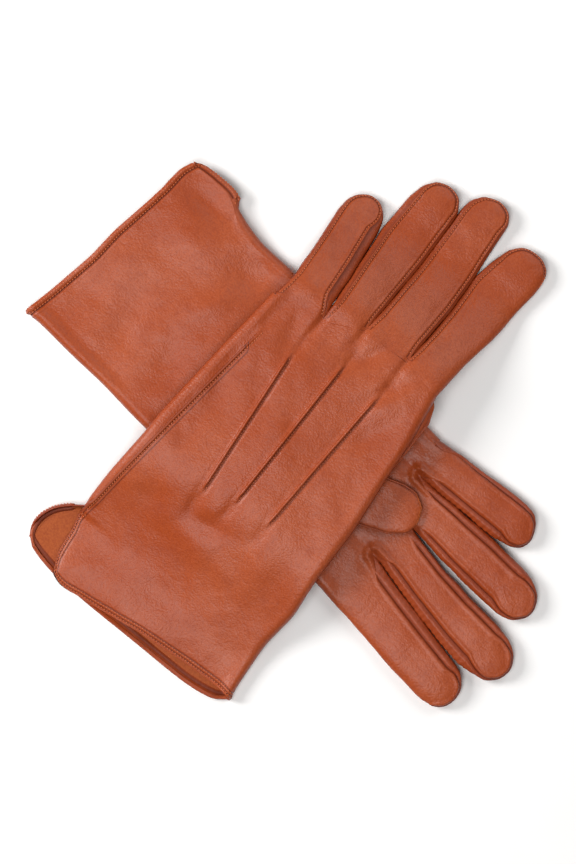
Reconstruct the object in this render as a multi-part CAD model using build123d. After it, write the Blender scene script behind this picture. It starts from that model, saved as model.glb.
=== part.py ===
"""A pair of gentleman's leather dress gloves, lying crossed: the left glove, back up, over the right, palm up.

Each glove is built flat in its own plan frame, in millimetres: a runs across the glove towards the index
finger's side, b runs from the cuff to the fingertips, and z is up. Leather sheets are thin plates, with
upright strips between them as the fourchettes, the side fold and the side seam. The left glove then follows
a drape over the right one. The pair's frame has +Z up, +Y along the left glove from cuff to fingertips, and
its origin in the middle of the pair's base box, on the face that rests on the table.
"""

from build123d import *

import math
import os
from dataclasses import dataclass, field

# Leather and heights
SHEET = 1.0  # thickness of a leather sheet
CAVITY = 6.5  # inner height of a glove that lies empty
THUMB_SHEET = 0.8
THUMB_CAVITY = 2.4  # a thumb lies pressed between palm and palm
LAYER_GAP = 0.3  # between pieces that lie on each other and move apart
HINGE_GAP = 0.4  # between a finger and the hand, at the knuckle line
BINDING_WIDTH = 2.4  # the bound edge of cuff and vent
POINT_WIDTH = 1.4  # the raised lines on the back
POINT_HEIGHT = 0.6

GLOVE_HEIGHT = CAVITY + 2 * SHEET
THUMB_HEIGHT = THUMB_CAVITY + 2 * THUMB_SHEET
RIGHT_THUMB_Z = GLOVE_HEIGHT + LAYER_GAP
LEFT_THUMB_Z = RIGHT_THUMB_Z + THUMB_HEIGHT + LAYER_GAP
PLATEAU = LEFT_THUMB_Z + THUMB_HEIGHT + LAYER_GAP  # the left palm's underside where it lies on the right glove

# How the gloves cross
CROSSING = {"left": 124.0, "right": 125.2}  # from each cuff to the point where the centre lines cross
RIGHT_TURN = -98.1  # degrees from the left glove's direction to the right glove's
CENTRE = (9.73, 9.17)  # the middle of the pair's base box, from the point where the centre lines cross

# The left glove's drape: (b, height of the palm's underside), straight between these stations
DRAPE = ((-30.0, 0.0), (22.0, 0.0), (80.0, PLATEAU), (180.0, PLATEAU), (232.0, 0.0), (300.0, 0.0))
FLAT = ((-30.0, 0.0), (300.0, 0.0))

# Stations along the hand, from the end of the vent to the knuckles
VENT_END = 30.0
WRIST = 95.0
KNUCKLES = 180.0
THUMB_HOLE = (18.0, 32.0)  # the oval hole in the palm, as a rectangle across and along
TALL = 80.0


@dataclass
class Digit:
    """A finger or thumb in plan: its base on the hinge line, its tip, and its widths at both."""

    name: str
    base: tuple
    tip: tuple
    base_width: float
    tip_width: float
    rounding: float = 0.44  # of the tip's width

    def direction(self):
        """The unit vector from base to tip."""
        return (Vector(*self.tip) - Vector(*self.base)).normalized()

    def across(self):
        """The unit vector to the digit's index side."""
        d = self.direction()
        return Vector(d.Y, -d.X)

    def at(self, along, side):
        """A plan point at a distance past the base line, and a distance to the index side."""
        return Vector(*self.base) + self.direction() * along + self.across() * side

    def length(self):
        """From the hinge line to the tip."""
        return (Vector(*self.tip) - Vector(*self.base)).length

    def outline(self, inset=0.0, start=0.0):
        """The plan face, drawn in by inset, from start to the rounded tip."""
        end = self.length() - inset
        base_half = self.base_width / 2 - inset
        tip_half = self.tip_width / 2 - inset
        corners = [self.at(start, -base_half), self.at(end, -tip_half), self.at(end, tip_half), self.at(start, base_half)]
        face = polygon(corners)
        tips = face.vertices().filter_by(lambda v: (Vector(v.X, v.Y) - self.at(end, 0)).length < self.tip_width)
        return fillet(tips, max(self.rounding * self.tip_width - inset, 0.5))

    def round_start(self):
        """Where the sides end and the rounding of the tip begins."""
        return self.length() - self.rounding * self.tip_width


@dataclass
class Glove:
    """One glove in plan. Edge tables are (a at cuff, vent end, wrist, knuckles)."""

    name: str
    back_is_up: bool
    drape: tuple
    little_edge: tuple
    index_edge: tuple
    cuff_b: tuple  # b of the cuff's line at the little side and the index side
    back_corner: tuple  # plan points of the back's cuff edge, from the vent's end round to the little side
    palm_corner: tuple  # the same for the palm, which flares out of the vent
    fingers: tuple
    knuckle_splits: tuple  # a of the three crotch lines at the knuckles
    thumb: Digit
    thumb_z: float
    points: tuple  # the raised lines on the back, each (start, end)
    nodes: dict = field(default_factory=dict)

    def add(self, node, *solids):
        """Files solids under this glove's node of that name."""
        self.nodes.setdefault(f"{self.name}_{node}", []).extend(solids)

    def place(self, shape):
        """From the plan frame to the pair's frame."""
        turn = 0.0 if self.name == "left" else RIGHT_TURN
        return Pos(-CENTRE[0], -CENTRE[1], 0) * Rot(0, 0, turn) * Pos(0, -CROSSING[self.name], 0) * shape


def polygon(points):
    """A flat face through plan points."""
    return make_face(Polyline(*[(p[0], p[1]) for p in map(tuple, points)], close=True))


def laid(face, low, high, drape):
    """The solids of a sheet with that plan, between two heights over the drape: one for each straight stretch."""
    tall = Pos(0, 0, -TALL / 2) * extrude(face, TALL)
    box = face.bounding_box()
    found = []
    for (b0, z0), (b1, z1) in zip(drape, drape[1:]):
        if b1 <= box.min.Y or b0 >= box.max.Y:
            continue
        band = [(b0, z0 + low), (b1, z1 + low), (b1, z1 + high), (b0, z0 + high)]
        section = make_face(Plane.YZ * Polyline(*band, close=True))
        piece = tall & extrude(section, amount=2 * TALL, both=True)
        found += [s for s in piece.solids() if s.volume > 0.05]
    return found


def corner_chain(glove, corner):
    """The cuff edge of one sheet, from the end of the vent round to the index side."""
    chain = [(glove.little_edge[1], VENT_END), *corner, (glove.index_edge[0], glove.cuff_b[1])]
    return chain


def hand_quads(glove):
    """Plan quadrilaterals of the hand past the vent: one from vent to wrist, one to the knuckles."""
    (_, l1, l2, l3), (_, i1, i2, i3) = glove.little_edge, glove.index_edge
    lower = [(l1, VENT_END), (i1, VENT_END), (i2, WRIST), (l2, WRIST)]
    upper = [(l2, WRIST), (i2, WRIST), (i3, KNUCKLES), (l3, KNUCKLES)]
    return lower, upper


def stub_quads(glove):
    """The short root of each finger, from the knuckles to its hinge line."""
    splits = [glove.little_edge[3], *glove.knuckle_splits, glove.index_edge[3]]
    quads = []
    for finger, (a0, a1) in zip(glove.fingers, zip(splits, splits[1:])):
        half = finger.base_width / 2
        end = -HINGE_GAP / 2
        quads.append([(a0, KNUCKLES), (a1, KNUCKLES), finger.at(end, half), finger.at(end, -half)])
    return quads


def around_hole(quad, hole):
    """Four convex quadrilaterals that leave a rectangular hole (low a, low b, high a, high b) in a quadrilateral."""
    (p, q, r, s) = [Vector(*c) for c in quad]
    low_a, low_b, high_a, high_b = hole

    def edge_a(start, end, b):
        """a of the straight edge from start to end, at b."""
        return start.X + (end.X - start.X) * (b - start.Y) / (end.Y - start.Y)

    left_low, left_high = edge_a(p, s, low_b), edge_a(p, s, high_b)
    right_low, right_high = edge_a(q, r, low_b), edge_a(q, r, high_b)
    below = [p, q, (right_low, low_b), (left_low, low_b)]
    above = [(left_high, high_b), (right_high, high_b), r, s]
    left = [(left_low, low_b), (low_a, low_b), (low_a, high_b), (left_high, high_b)]
    right = [(high_a, low_b), (right_low, low_b), (right_high, high_b), (high_a, high_b)]
    return [below, above, left, right]


def strip(start, end, width, side):
    """A plan quadrilateral along start to end, of that width, laid to one side: +1 is to the right of the way."""
    way = (Vector(*end) - Vector(*start)).normalized()
    step = Vector(way.Y, -way.X) * width * side
    return [start, end, tuple(Vector(*end) + step)[:2], tuple(Vector(*start) + step)[:2]]


def build_cuff(glove, node, corner, low, high):
    """The cuff end of one sheet, and its bound edge as a band round it."""
    chain = corner_chain(glove, corner)
    face = polygon([*chain, (glove.index_edge[1], VENT_END)])
    rounded = [v for v in face.vertices() if v.Y < VENT_END - 2 and v.X < 0]
    face = fillet(rounded, 5.0)
    inner = Pos(0, BINDING_WIDTH, 0) * face
    inner = inner & (Pos(BINDING_WIDTH, 0, 0) * face)
    inner = inner & (Pos(BINDING_WIDTH * 0.7, BINDING_WIDTH * 0.7, 0) * face)
    keep = Pos(0, -100 + VENT_END, 0) * Rectangle(300, 200)
    plate = (inner & keep) + (face & (Pos(glove.index_edge[1], 0, 0) * Rectangle(2 * BINDING_WIDTH, 200)) & inner)
    plate = plate & face
    band = face - plate
    glove.add(node, *laid(biggest(plate), low, high, glove.drape))
    glove.add("cuff_binding", *laid(biggest(band), low, high, glove.drape))


def biggest(shape):
    """The largest face of a sketch."""
    return max(shape.faces(), key=lambda f: f.area)


def build_hand(glove):
    """The back and palm sheets, the side fold, the side seam and the points."""
    back_low = CAVITY + SHEET if glove.back_is_up else 0.0
    palm_low = 0.0 if glove.back_is_up else CAVITY + SHEET
    lower, upper = hand_quads(glove)
    stubs = stub_quads(glove)
    for node, low, corner in (("back_panel", back_low, glove.back_corner), ("palm_panel", palm_low, glove.palm_corner)):
        build_cuff(glove, node, corner, low, low + SHEET)
        across, along = THUMB_HOLE
        a, b = glove.thumb.base
        hole = (a - across / 2, b - along / 2, a + across / 2, b + along / 2)
        tops = around_hole(upper, hole) if node == "palm_panel" else [upper]
        for quad in [lower, *tops, *stubs]:
            glove.add(node, *laid(polygon(quad), low, low + SHEET, glove.drape))

    stations = (0.0, VENT_END, WRIST, KNUCKLES)
    index_line = [(glove.index_edge[0], glove.cuff_b[1]), *zip(glove.index_edge[1:], stations[1:])]
    index_line.append(tuple(glove.fingers[-1].at(-HINGE_GAP / 2, glove.fingers[-1].base_width / 2))[:2])
    little_line = list(zip(glove.little_edge[1:], stations[1:]))
    little_line.append(tuple(glove.fingers[0].at(-HINGE_GAP / 2, -glove.fingers[0].base_width / 2))[:2])
    for line, node, side in ((index_line, "back_panel", -1), (little_line, "side_seam", 1)):
        for start, end in zip(line, line[1:]):
            wall = polygon(strip(start, end, SHEET, side))
            glove.add(node, *laid(wall, SHEET, SHEET + CAVITY, glove.drape))

    point_low = GLOVE_HEIGHT if glove.back_is_up else SHEET
    for start, end in glove.points:
        line = polygon(strip(start, end, POINT_WIDTH, 1))
        glove.add("back_points", *laid(line, point_low, point_low + POINT_HEIGHT, glove.drape))


def half_plan(digit, side, start, end):
    """The plan half of a digit on one side of its centre line, between two distances from its base."""
    wide = digit.base_width * side
    return polygon([digit.at(start, 0), digit.at(end, 0), digit.at(end, wide), digit.at(start, wide)])


def digit_walls(digit, thickness, side, start):
    """Plan faces of the upright strip on one side of a digit: a straight one, and a quarter round at the tip."""
    rim = digit.outline(0.0, start) - digit.outline(thickness, start)
    turn = digit.round_start()
    faces = []
    for low, high in ((start, turn), (turn, digit.length() + 1)):
        faces.append(biggest(rim & half_plan(digit, side, low, high)))
    return faces


def build_fingers(glove):
    """Each finger's back and palm sheets, and the strips between them: fourchettes, the fold and the seam side."""
    back_low = CAVITY + SHEET if glove.back_is_up else 0.0
    palm_low = 0.0 if glove.back_is_up else CAVITY + SHEET
    start = HINGE_GAP / 2
    for finger in glove.fingers:
        outline = finger.outline(0.0, start)
        glove.add(f"{finger.name}_back", *laid(outline, back_low, back_low + SHEET, glove.drape))
        glove.add(f"{finger.name}_palm", *laid(outline, palm_low, palm_low + SHEET, glove.drape))
        strips = {1: f"{finger.name}_fourchette_index_side", -1: f"{finger.name}_fourchette_little_side"}
        if finger is glove.fingers[-1]:
            strips[1] = f"{finger.name}_back"  # the back and palm are one skin, folded here
        if finger is glove.fingers[0]:
            strips[-1] = f"{finger.name}_side_seam"
        for side, node in strips.items():
            for face in digit_walls(finger, SHEET, side, start):
                glove.add(node, *laid(face, SHEET, SHEET + CAVITY, glove.drape))


def build_thumb(glove):
    """The thumb: an outer and an inner face, and the strip round them, open where it meets the palm's hole."""
    thumb, low = glove.thumb, glove.thumb_z
    behind = -THUMB_HOLE[1] / 2 - 2 * THUMB_SHEET
    past_hole = THUMB_HOLE[1] / 2 + THUMB_HOLE[0] / 2
    inner_low = low + THUMB_HEIGHT - THUMB_SHEET if glove.back_is_up else low
    outer_low = low if glove.back_is_up else low + THUMB_HEIGHT - THUMB_SHEET
    outer = laid(thumb.outline(0.0, behind), outer_low, outer_low + THUMB_SHEET, FLAT)
    inner = laid(thumb.outline(0.0, past_hole), inner_low, inner_low + THUMB_SHEET, FLAT)
    glove.add("thumb_outer", *outer)
    glove.add("thumb_inner", *inner)
    half = thumb.base_width / 2 - THUMB_SHEET
    root = [thumb.at(along, side) for along, side in ((0, -half), (0, half), (THUMB_SHEET, half), (THUMB_SHEET, -half))]
    strips = [polygon([corner + thumb.direction() * behind for corner in root])]
    for side in (-1, 1):
        strips += digit_walls(thumb, THUMB_SHEET, side, behind)
    for face in strips:
        wall = laid(face, low + THUMB_SHEET, low + THUMB_SHEET + THUMB_CAVITY, FLAT)
        glove.add("thumb_seam", *wall)


LEFT = Glove(
    name="left",
    back_is_up=True,
    drape=DRAPE,
    little_edge=(-43.0, -55.0, -53.5, -46.5),
    index_edge=(58.0, 55.5, 54.3, 45.0),
    cuff_b=(-4.5, 2.0),
    back_corner=((-52.5, 12.0), (-46.0, -4.5)),
    palm_corner=((-67.0, 22.0), (-67.0, 8.0), (-55.0, -4.5)),
    fingers=(
        Digit("little", (-33.6, 185.0), (-37.6, 233.5), 23.0, 20.0),
        Digit("ring", (-11.4, 192.0), (-12.4, 261.6), 21.0, 21.0),
        Digit("middle", (11.9, 192.0), (10.8, 270.7), 23.6, 22.0),
        Digit("index", (35.2, 192.0), (40.8, 261.4), 21.0, 21.0),
    ),
    knuckle_splits=(-21.5, -0.8, 23.9),
    thumb=Digit("thumb", (36.0, 104.0), (38.5, 178.0), 26.0, 25.0),
    thumb_z=LEFT_THUMB_Z,
    points=(((-14.9, 72.4), (-22.2, 150.5)), ((0.7, 78.7), (0.8, 161.3)), ((19.4, 78.5), (22.7, 160.3))),
)
RIGHT = Glove(
    name="right",
    back_is_up=False,
    drape=FLAT,
    little_edge=(-50.0, -55.0, -51.5, -47.3),
    index_edge=(54.0, 52.8, 51.5, 44.0),
    cuff_b=(-1.5, -4.0),
    back_corner=((-56.0, 5.0), (-50.0, -1.5)),
    palm_corner=((-59.0, 23.0), (-57.0, 3.0), (-50.0, -1.5)),
    fingers=(
        Digit("little", (-39.4, 195.0), (-46.8, 244.0), 20.0, 19.6),
        Digit("ring", (-19.3, 204.0), (-21.6, 269.6), 20.4, 20.4),
        Digit("middle", (3.4, 208.0), (8.0, 282.4), 22.4, 22.4),
        Digit("index", (29.7, 208.0), (34.8, 273.3), 27.0, 23.0),
    ),
    knuckle_splits=(-28.2, -8.8, 14.6),
    thumb=Digit("thumb", (24.0, 120.0), (-14.0, 199.3), 27.0, 26.0),
    thumb_z=RIGHT_THUMB_Z,
    points=(((-14.9, 72.4), (-22.2, 150.5)), ((0.7, 78.7), (0.8, 161.3)), ((19.4, 78.5), (22.7, 160.3))),
)


def main():
    """Builds both gloves and writes one STEP file for each node."""
    os.makedirs("parts", exist_ok=True)
    boxes = []
    for glove in (LEFT, RIGHT):
        build_hand(glove)
        build_fingers(glove)
        build_thumb(glove)
        for node, solids in glove.nodes.items():
            placed = [glove.place(s) for s in solids]
            export_step(Compound(children=placed), f"parts/{node}.step")
            boxes += [s.bounding_box() for s in placed]
    middle = [(min(tuple(b.min)[i] for b in boxes) + max(tuple(b.max)[i] for b in boxes)) / 2 for i in (0, 1)]
    print(f"middle of the base box: {middle[0]:.3f}, {middle[1]:.3f} mm from the origin")


if __name__ == "__main__":
    main()
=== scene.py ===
"""A pair of tan leather dress gloves that lie crossed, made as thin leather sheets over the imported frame.

Each glove is worked out in its own plan, in millimetres: a runs across it towards the index finger, b from the
cuff to the fingertips, and z up, with the back of the hand up. The left glove then lies as it is, draped over
the right one, and the right glove is turned over, palm up. Every sheet is a grid of outer points, given an
inner face and a rounded edge, so that it is a closed shell as thin as real leather.
"""

import logging
import math
from dataclasses import dataclass, field
from enum import Enum

import bmesh
import bpy
import numpy as np
from mathutils import Matrix, Quaternion, Vector


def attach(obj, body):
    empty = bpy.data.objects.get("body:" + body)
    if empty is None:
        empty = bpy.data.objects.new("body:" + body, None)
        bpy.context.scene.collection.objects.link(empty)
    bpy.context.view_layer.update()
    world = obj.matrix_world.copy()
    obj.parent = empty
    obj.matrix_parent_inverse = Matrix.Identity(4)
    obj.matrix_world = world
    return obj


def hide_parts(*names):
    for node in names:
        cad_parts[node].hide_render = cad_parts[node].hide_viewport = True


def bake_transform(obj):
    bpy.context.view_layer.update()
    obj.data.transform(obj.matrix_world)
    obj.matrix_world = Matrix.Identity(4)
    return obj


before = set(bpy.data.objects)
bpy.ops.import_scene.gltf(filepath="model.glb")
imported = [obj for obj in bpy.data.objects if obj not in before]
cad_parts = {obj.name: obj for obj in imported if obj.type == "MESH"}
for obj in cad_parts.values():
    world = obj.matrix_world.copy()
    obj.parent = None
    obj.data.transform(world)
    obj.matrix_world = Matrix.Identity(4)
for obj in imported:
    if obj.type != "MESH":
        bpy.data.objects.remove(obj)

LOG = logging.getLogger("gloves")
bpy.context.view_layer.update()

MM = 0.001
CENTRE = (9.73, 9.17)  # the frame's origin, from the point where the gloves' centre lines cross
PLATEAU = 17.4  # the left palm's underside where it lies on the right glove
HEIGHT = 8.3  # an empty glove's height
LEATHER = 0.85  # thickness of the skins
SIDE_LEATHER = 0.7  # and of the strips beside the fingers
LITTLE_ROUND, INDEX_ROUND = 4.0, 5.0  # radii of the hand's sides
ROOT_FADE = 14.0  # the length over which a finger's root gives way to its own section
HEM_ROWS = (1.45, 3.2)  # the hem's two rows of stitches, from its edge
SEAM_ROW = 1.7  # the lapped side seam's row
SEAM_END = 152.0  # the b where that row fades out
FINGER_ROW = 1.4  # the row round a finger's back
VIEW_UP, VIEW_RIGHT = (-0.620, 0.785, 0.0), (0.785, 0.620, 0.0)
VIEW_CENTRE = (-0.00972, -0.01232)  # metres
CAMERA_HEIGHT, SUBJECT_HEIGHT = 1.7, 0.008
VIEW_LENGTH = 0.4147  # what the long side of the frame takes in at the gloves
SENSOR = 36.0
SIDE_TURN = 0.62  # the share of the wrapped side that goes round, before it runs on over the top
THUMB_LENGTH = 74.4  # of the outline, from its base to its tip
FAR = 99.0  # further than any edge matters
POWER = 2.5  # of the superellipse that a finger's section follows
Points = tuple[tuple[float, float], ...]


class Side(Enum):
    """Which side of the hand or of a finger is meant: towards the little finger or towards the index."""

    LITTLE = -1
    INDEX = 1


class Face(Enum):
    """The two skins of a glove."""

    BACK = 1
    PALM = -1


def ease(x: np.ndarray, low: float, high: float) -> np.ndarray:
    """Goes smoothly from 0 at low to 1 at high: 3t^2 - 2t^3."""
    t = np.clip((np.asarray(x, float) - low) / (high - low), 0.0, 1.0)
    return t * t * (3.0 - 2.0 * t)


def hump(x: np.ndarray, middle: float, width: "float | np.ndarray") -> np.ndarray:
    """A bell curve of height 1: exp(-((x - middle) / width)^2)."""
    return np.exp(-(((np.asarray(x, float) - middle) / width) ** 2))


def spot(
    a: np.ndarray, b: np.ndarray, at: tuple[float, float], reach: tuple[float, float], turn: float = 0.0
) -> np.ndarray:
    """A bell-shaped patch round a point, longer one way than the other and turned by some degrees.

    Args:
        a: positions across the glove, in millimetres.
        b: positions along it.
        at: the middle of the patch.
        reach: its two half widths.
        turn: how far it is turned, in degrees.
    Returns:
        Its height, at most 1, at each position.
    """
    t = math.radians(turn)
    u = (a - at[0]) * math.cos(t) + (b - at[1]) * math.sin(t)
    v = -(a - at[0]) * math.sin(t) + (b - at[1]) * math.cos(t)
    return np.exp(-((u / reach[0]) ** 2) - (v / reach[1]) ** 2)


def run_along(points: np.ndarray, axis: int = 0) -> np.ndarray:
    """Distance run along rows or columns of points: the running sum of the steps' lengths, from 0."""
    steps = np.linalg.norm(np.diff(points, axis=axis), axis=-1)
    return np.concatenate([np.zeros_like(np.take(steps, [0], axis)), np.cumsum(steps, axis=axis)], axis=axis)


def rumple(x: np.ndarray, y: np.ndarray, size: float, seed: int) -> np.ndarray:
    """Smooth random height from -1 to 1: seeded values on a square lattice, joined by a quintic ease.

    Args:
        x: positions one way, in millimetres.
        y: positions the other way.
        size: the lattice's pitch.
        seed: which pattern.
    Returns:
        The height at each position.
    """
    table = np.random.default_rng(seed).uniform(-1.0, 1.0, (64, 64))
    u, v = np.asarray(x) / size, np.asarray(y) / size
    i, j = np.floor(u).astype(int), np.floor(v).astype(int)
    f, g = u - i, v - j
    f, g = (t * t * t * (t * (t * 6.0 - 15.0) + 10.0) for t in (f, g))
    low = table[i % 64, j % 64] * (1 - f) + table[(i + 1) % 64, j % 64] * f
    high = table[i % 64, (j + 1) % 64] * (1 - f) + table[(i + 1) % 64, (j + 1) % 64] * f
    return low * (1 - g) + high * g


def along(points: Points, count: int, soften: float = 2.0, shares: np.ndarray | None = None) -> np.ndarray:
    """A smooth plan path: straight runs sampled finely, averaged by a bell curve, then spaced evenly or by shares.

    Args:
        points: the path's corners.
        count: how many points come back.
        soften: the bell's width in millimetres.
        shares: where the points lie along the path, from 0 to 1, if not evenly.
    Returns:
        An array of count plan points.
    """
    p = np.asarray(points, float)
    s = run_along(p)
    fine = np.linspace(0.0, s[-1], 600)
    q = np.stack([np.interp(fine, s, p[:, k]) for k in (0, 1)], axis=1)
    if soften > 0:
        step = fine[1]
        reach = max(1, int(3 * soften / step))
        bell = np.exp(-((np.arange(-reach, reach + 1) * step / soften) ** 2) / 2)
        bell /= bell.sum()
        before = 2 * q[0] - q[1 : reach + 1][::-1]
        after = 2 * q[-1] - q[-reach - 1 : -1][::-1]
        padded = np.concatenate([before, q, after])
        q = np.stack([np.convolve(padded[:, k], bell, mode="valid") for k in (0, 1)], axis=1)
    s = run_along(q)
    want = (np.linspace(0.0, 1.0, count) if shares is None else shares) * s[-1]
    return np.stack([np.interp(want, s, q[:, k]) for k in (0, 1)], axis=1)


def across_at(points: Points, b: np.ndarray, soften: float = 2.0) -> np.ndarray:
    """The a of an edge that runs from cuff to fingertip, at each b.

    Args:
        points: the edge.
        b: positions along the glove.
        soften: how far its corners are eased, in millimetres.
    Returns:
        The position across at each b.
    """
    path = along(points, 400, soften)
    order = np.argsort(path[:, 1], kind="stable")
    return np.interp(b, path[order, 1], path[order, 0])


@dataclass(frozen=True)
class Lay:
    """How a glove lies in the frame: turned in plan, slid to the crossing, draped, and turned over or not."""

    turn: float
    crossing: float
    palm_up: bool
    draped: bool

    def slack(self, face: "Face") -> float:
        """How far a skin stays below its full height: the back of a glove that lies palm up rests on its points."""
        return 1.25 if self.palm_up and face is Face.BACK else (1.1 if face is Face.PALM else 0.75)

    def rest(self, b: np.ndarray) -> np.ndarray:
        """Height of the glove's underside at b: flat, or up to the plateau over the other glove and down again."""
        b = np.asarray(b, float)
        if not self.draped:
            return np.zeros_like(b)
        return PLATEAU * ease(b, 17.0, 84.0) * (1.0 - ease(b, 176.0, 236.0))

    def place(self, p: np.ndarray) -> np.ndarray:
        """Plan points in millimetres to the frame, in metres."""
        t = math.radians(self.turn)
        a, b = p[..., 0], p[..., 1] - self.crossing
        z = HEIGHT + 0.2 - p[..., 2] if self.palm_up else p[..., 2]
        x = a * math.cos(t) - b * math.sin(t) - CENTRE[0]
        y = a * math.sin(t) + b * math.cos(t) - CENTRE[1]
        return np.stack([x, y, z], axis=-1) * MM

    def aim(self, n: np.ndarray) -> np.ndarray:
        """Directions in the plan to directions in the frame."""
        t = math.radians(self.turn)
        x = n[..., 0] * math.cos(t) - n[..., 1] * math.sin(t)
        y = n[..., 0] * math.sin(t) + n[..., 1] * math.cos(t)
        z = -n[..., 2] if self.palm_up else n[..., 2]
        return np.stack([x, y, z], axis=-1)


LEFT_LAY = Lay(turn=0.0, crossing=124.0, palm_up=False, draped=True)
RIGHT_LAY = Lay(turn=-98.1, crossing=125.2, palm_up=True, draped=False)


def unit(v: np.ndarray) -> np.ndarray:
    """Vectors scaled to length 1; a vector of no length stays as it is."""
    length = np.linalg.norm(v, axis=-1, keepdims=True)
    return v / np.where(length > 1e-12, length, 1.0)


def grid_normals(p: np.ndarray, sign: float) -> np.ndarray:
    """Normals of a grid: the cross product of its two slopes. At a pole, where one slope vanishes, the row before's.

    Where the two slopes are nearly in line, as at a pinched corner, it is the mean of its neighbours'.

    Args:
        p: outer points, rows by columns.
        sign: 1 or -1, so that they point out of the glove.
    Returns:
        A unit vector for each point.
    """
    rows, columns = np.gradient(p, axis=0), np.gradient(p, axis=1)
    n = np.cross(columns, rows) * sign
    bad = np.minimum(np.linalg.norm(rows, axis=-1), np.linalg.norm(columns, axis=-1)) < 0.01
    sides = np.linalg.norm(rows, axis=-1) * np.linalg.norm(columns, axis=-1)
    slant = np.linalg.norm(n, axis=-1) / np.maximum(sides, 1e-12)
    n = unit(n)
    for i in range(1, len(n)):
        n[i][bad[i]] = n[i - 1][bad[i]]
    pinched = (slant < 0.5) & ~bad
    for _ in range(30 if pinched.any() else 0):
        wide = np.pad(n, ((1, 1), (1, 1), (0, 0)), mode="edge")
        near = unit(wide[2:, 1:-1] + wide[:-2, 1:-1] + wide[1:-1, 2:] + wide[1:-1, :-2])
        n[pinched] = near[pinched]
    return n


def border_side(line: np.ndarray, within: np.ndarray, normals: np.ndarray) -> np.ndarray:
    """Directions in the sheet, square to its border and away from the next line in.

    Each is the border's tangent crossed with the normal.

    Args:
        line: points along the border.
        within: the next line of points in.
        normals: the sheet's normals along the border.
    Returns:
        A direction for each point.
    """
    side = unit(np.cross(np.gradient(line, axis=0), normals))
    return side if ((line - within) * side).sum() > 0 else -side


def seam_distance(p: np.ndarray, both: bool = True) -> np.ndarray:
    """Distance of each point along the sheet from the nearer end of its row, or from its first end.

    Args:
        p: rows of points.
        both: whether both ends of a row count.
    Returns:
        The distance of each point.
    """
    first = run_along(p, 1)
    return np.minimum(first, first[:, -1:] - first) if both else first


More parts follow.
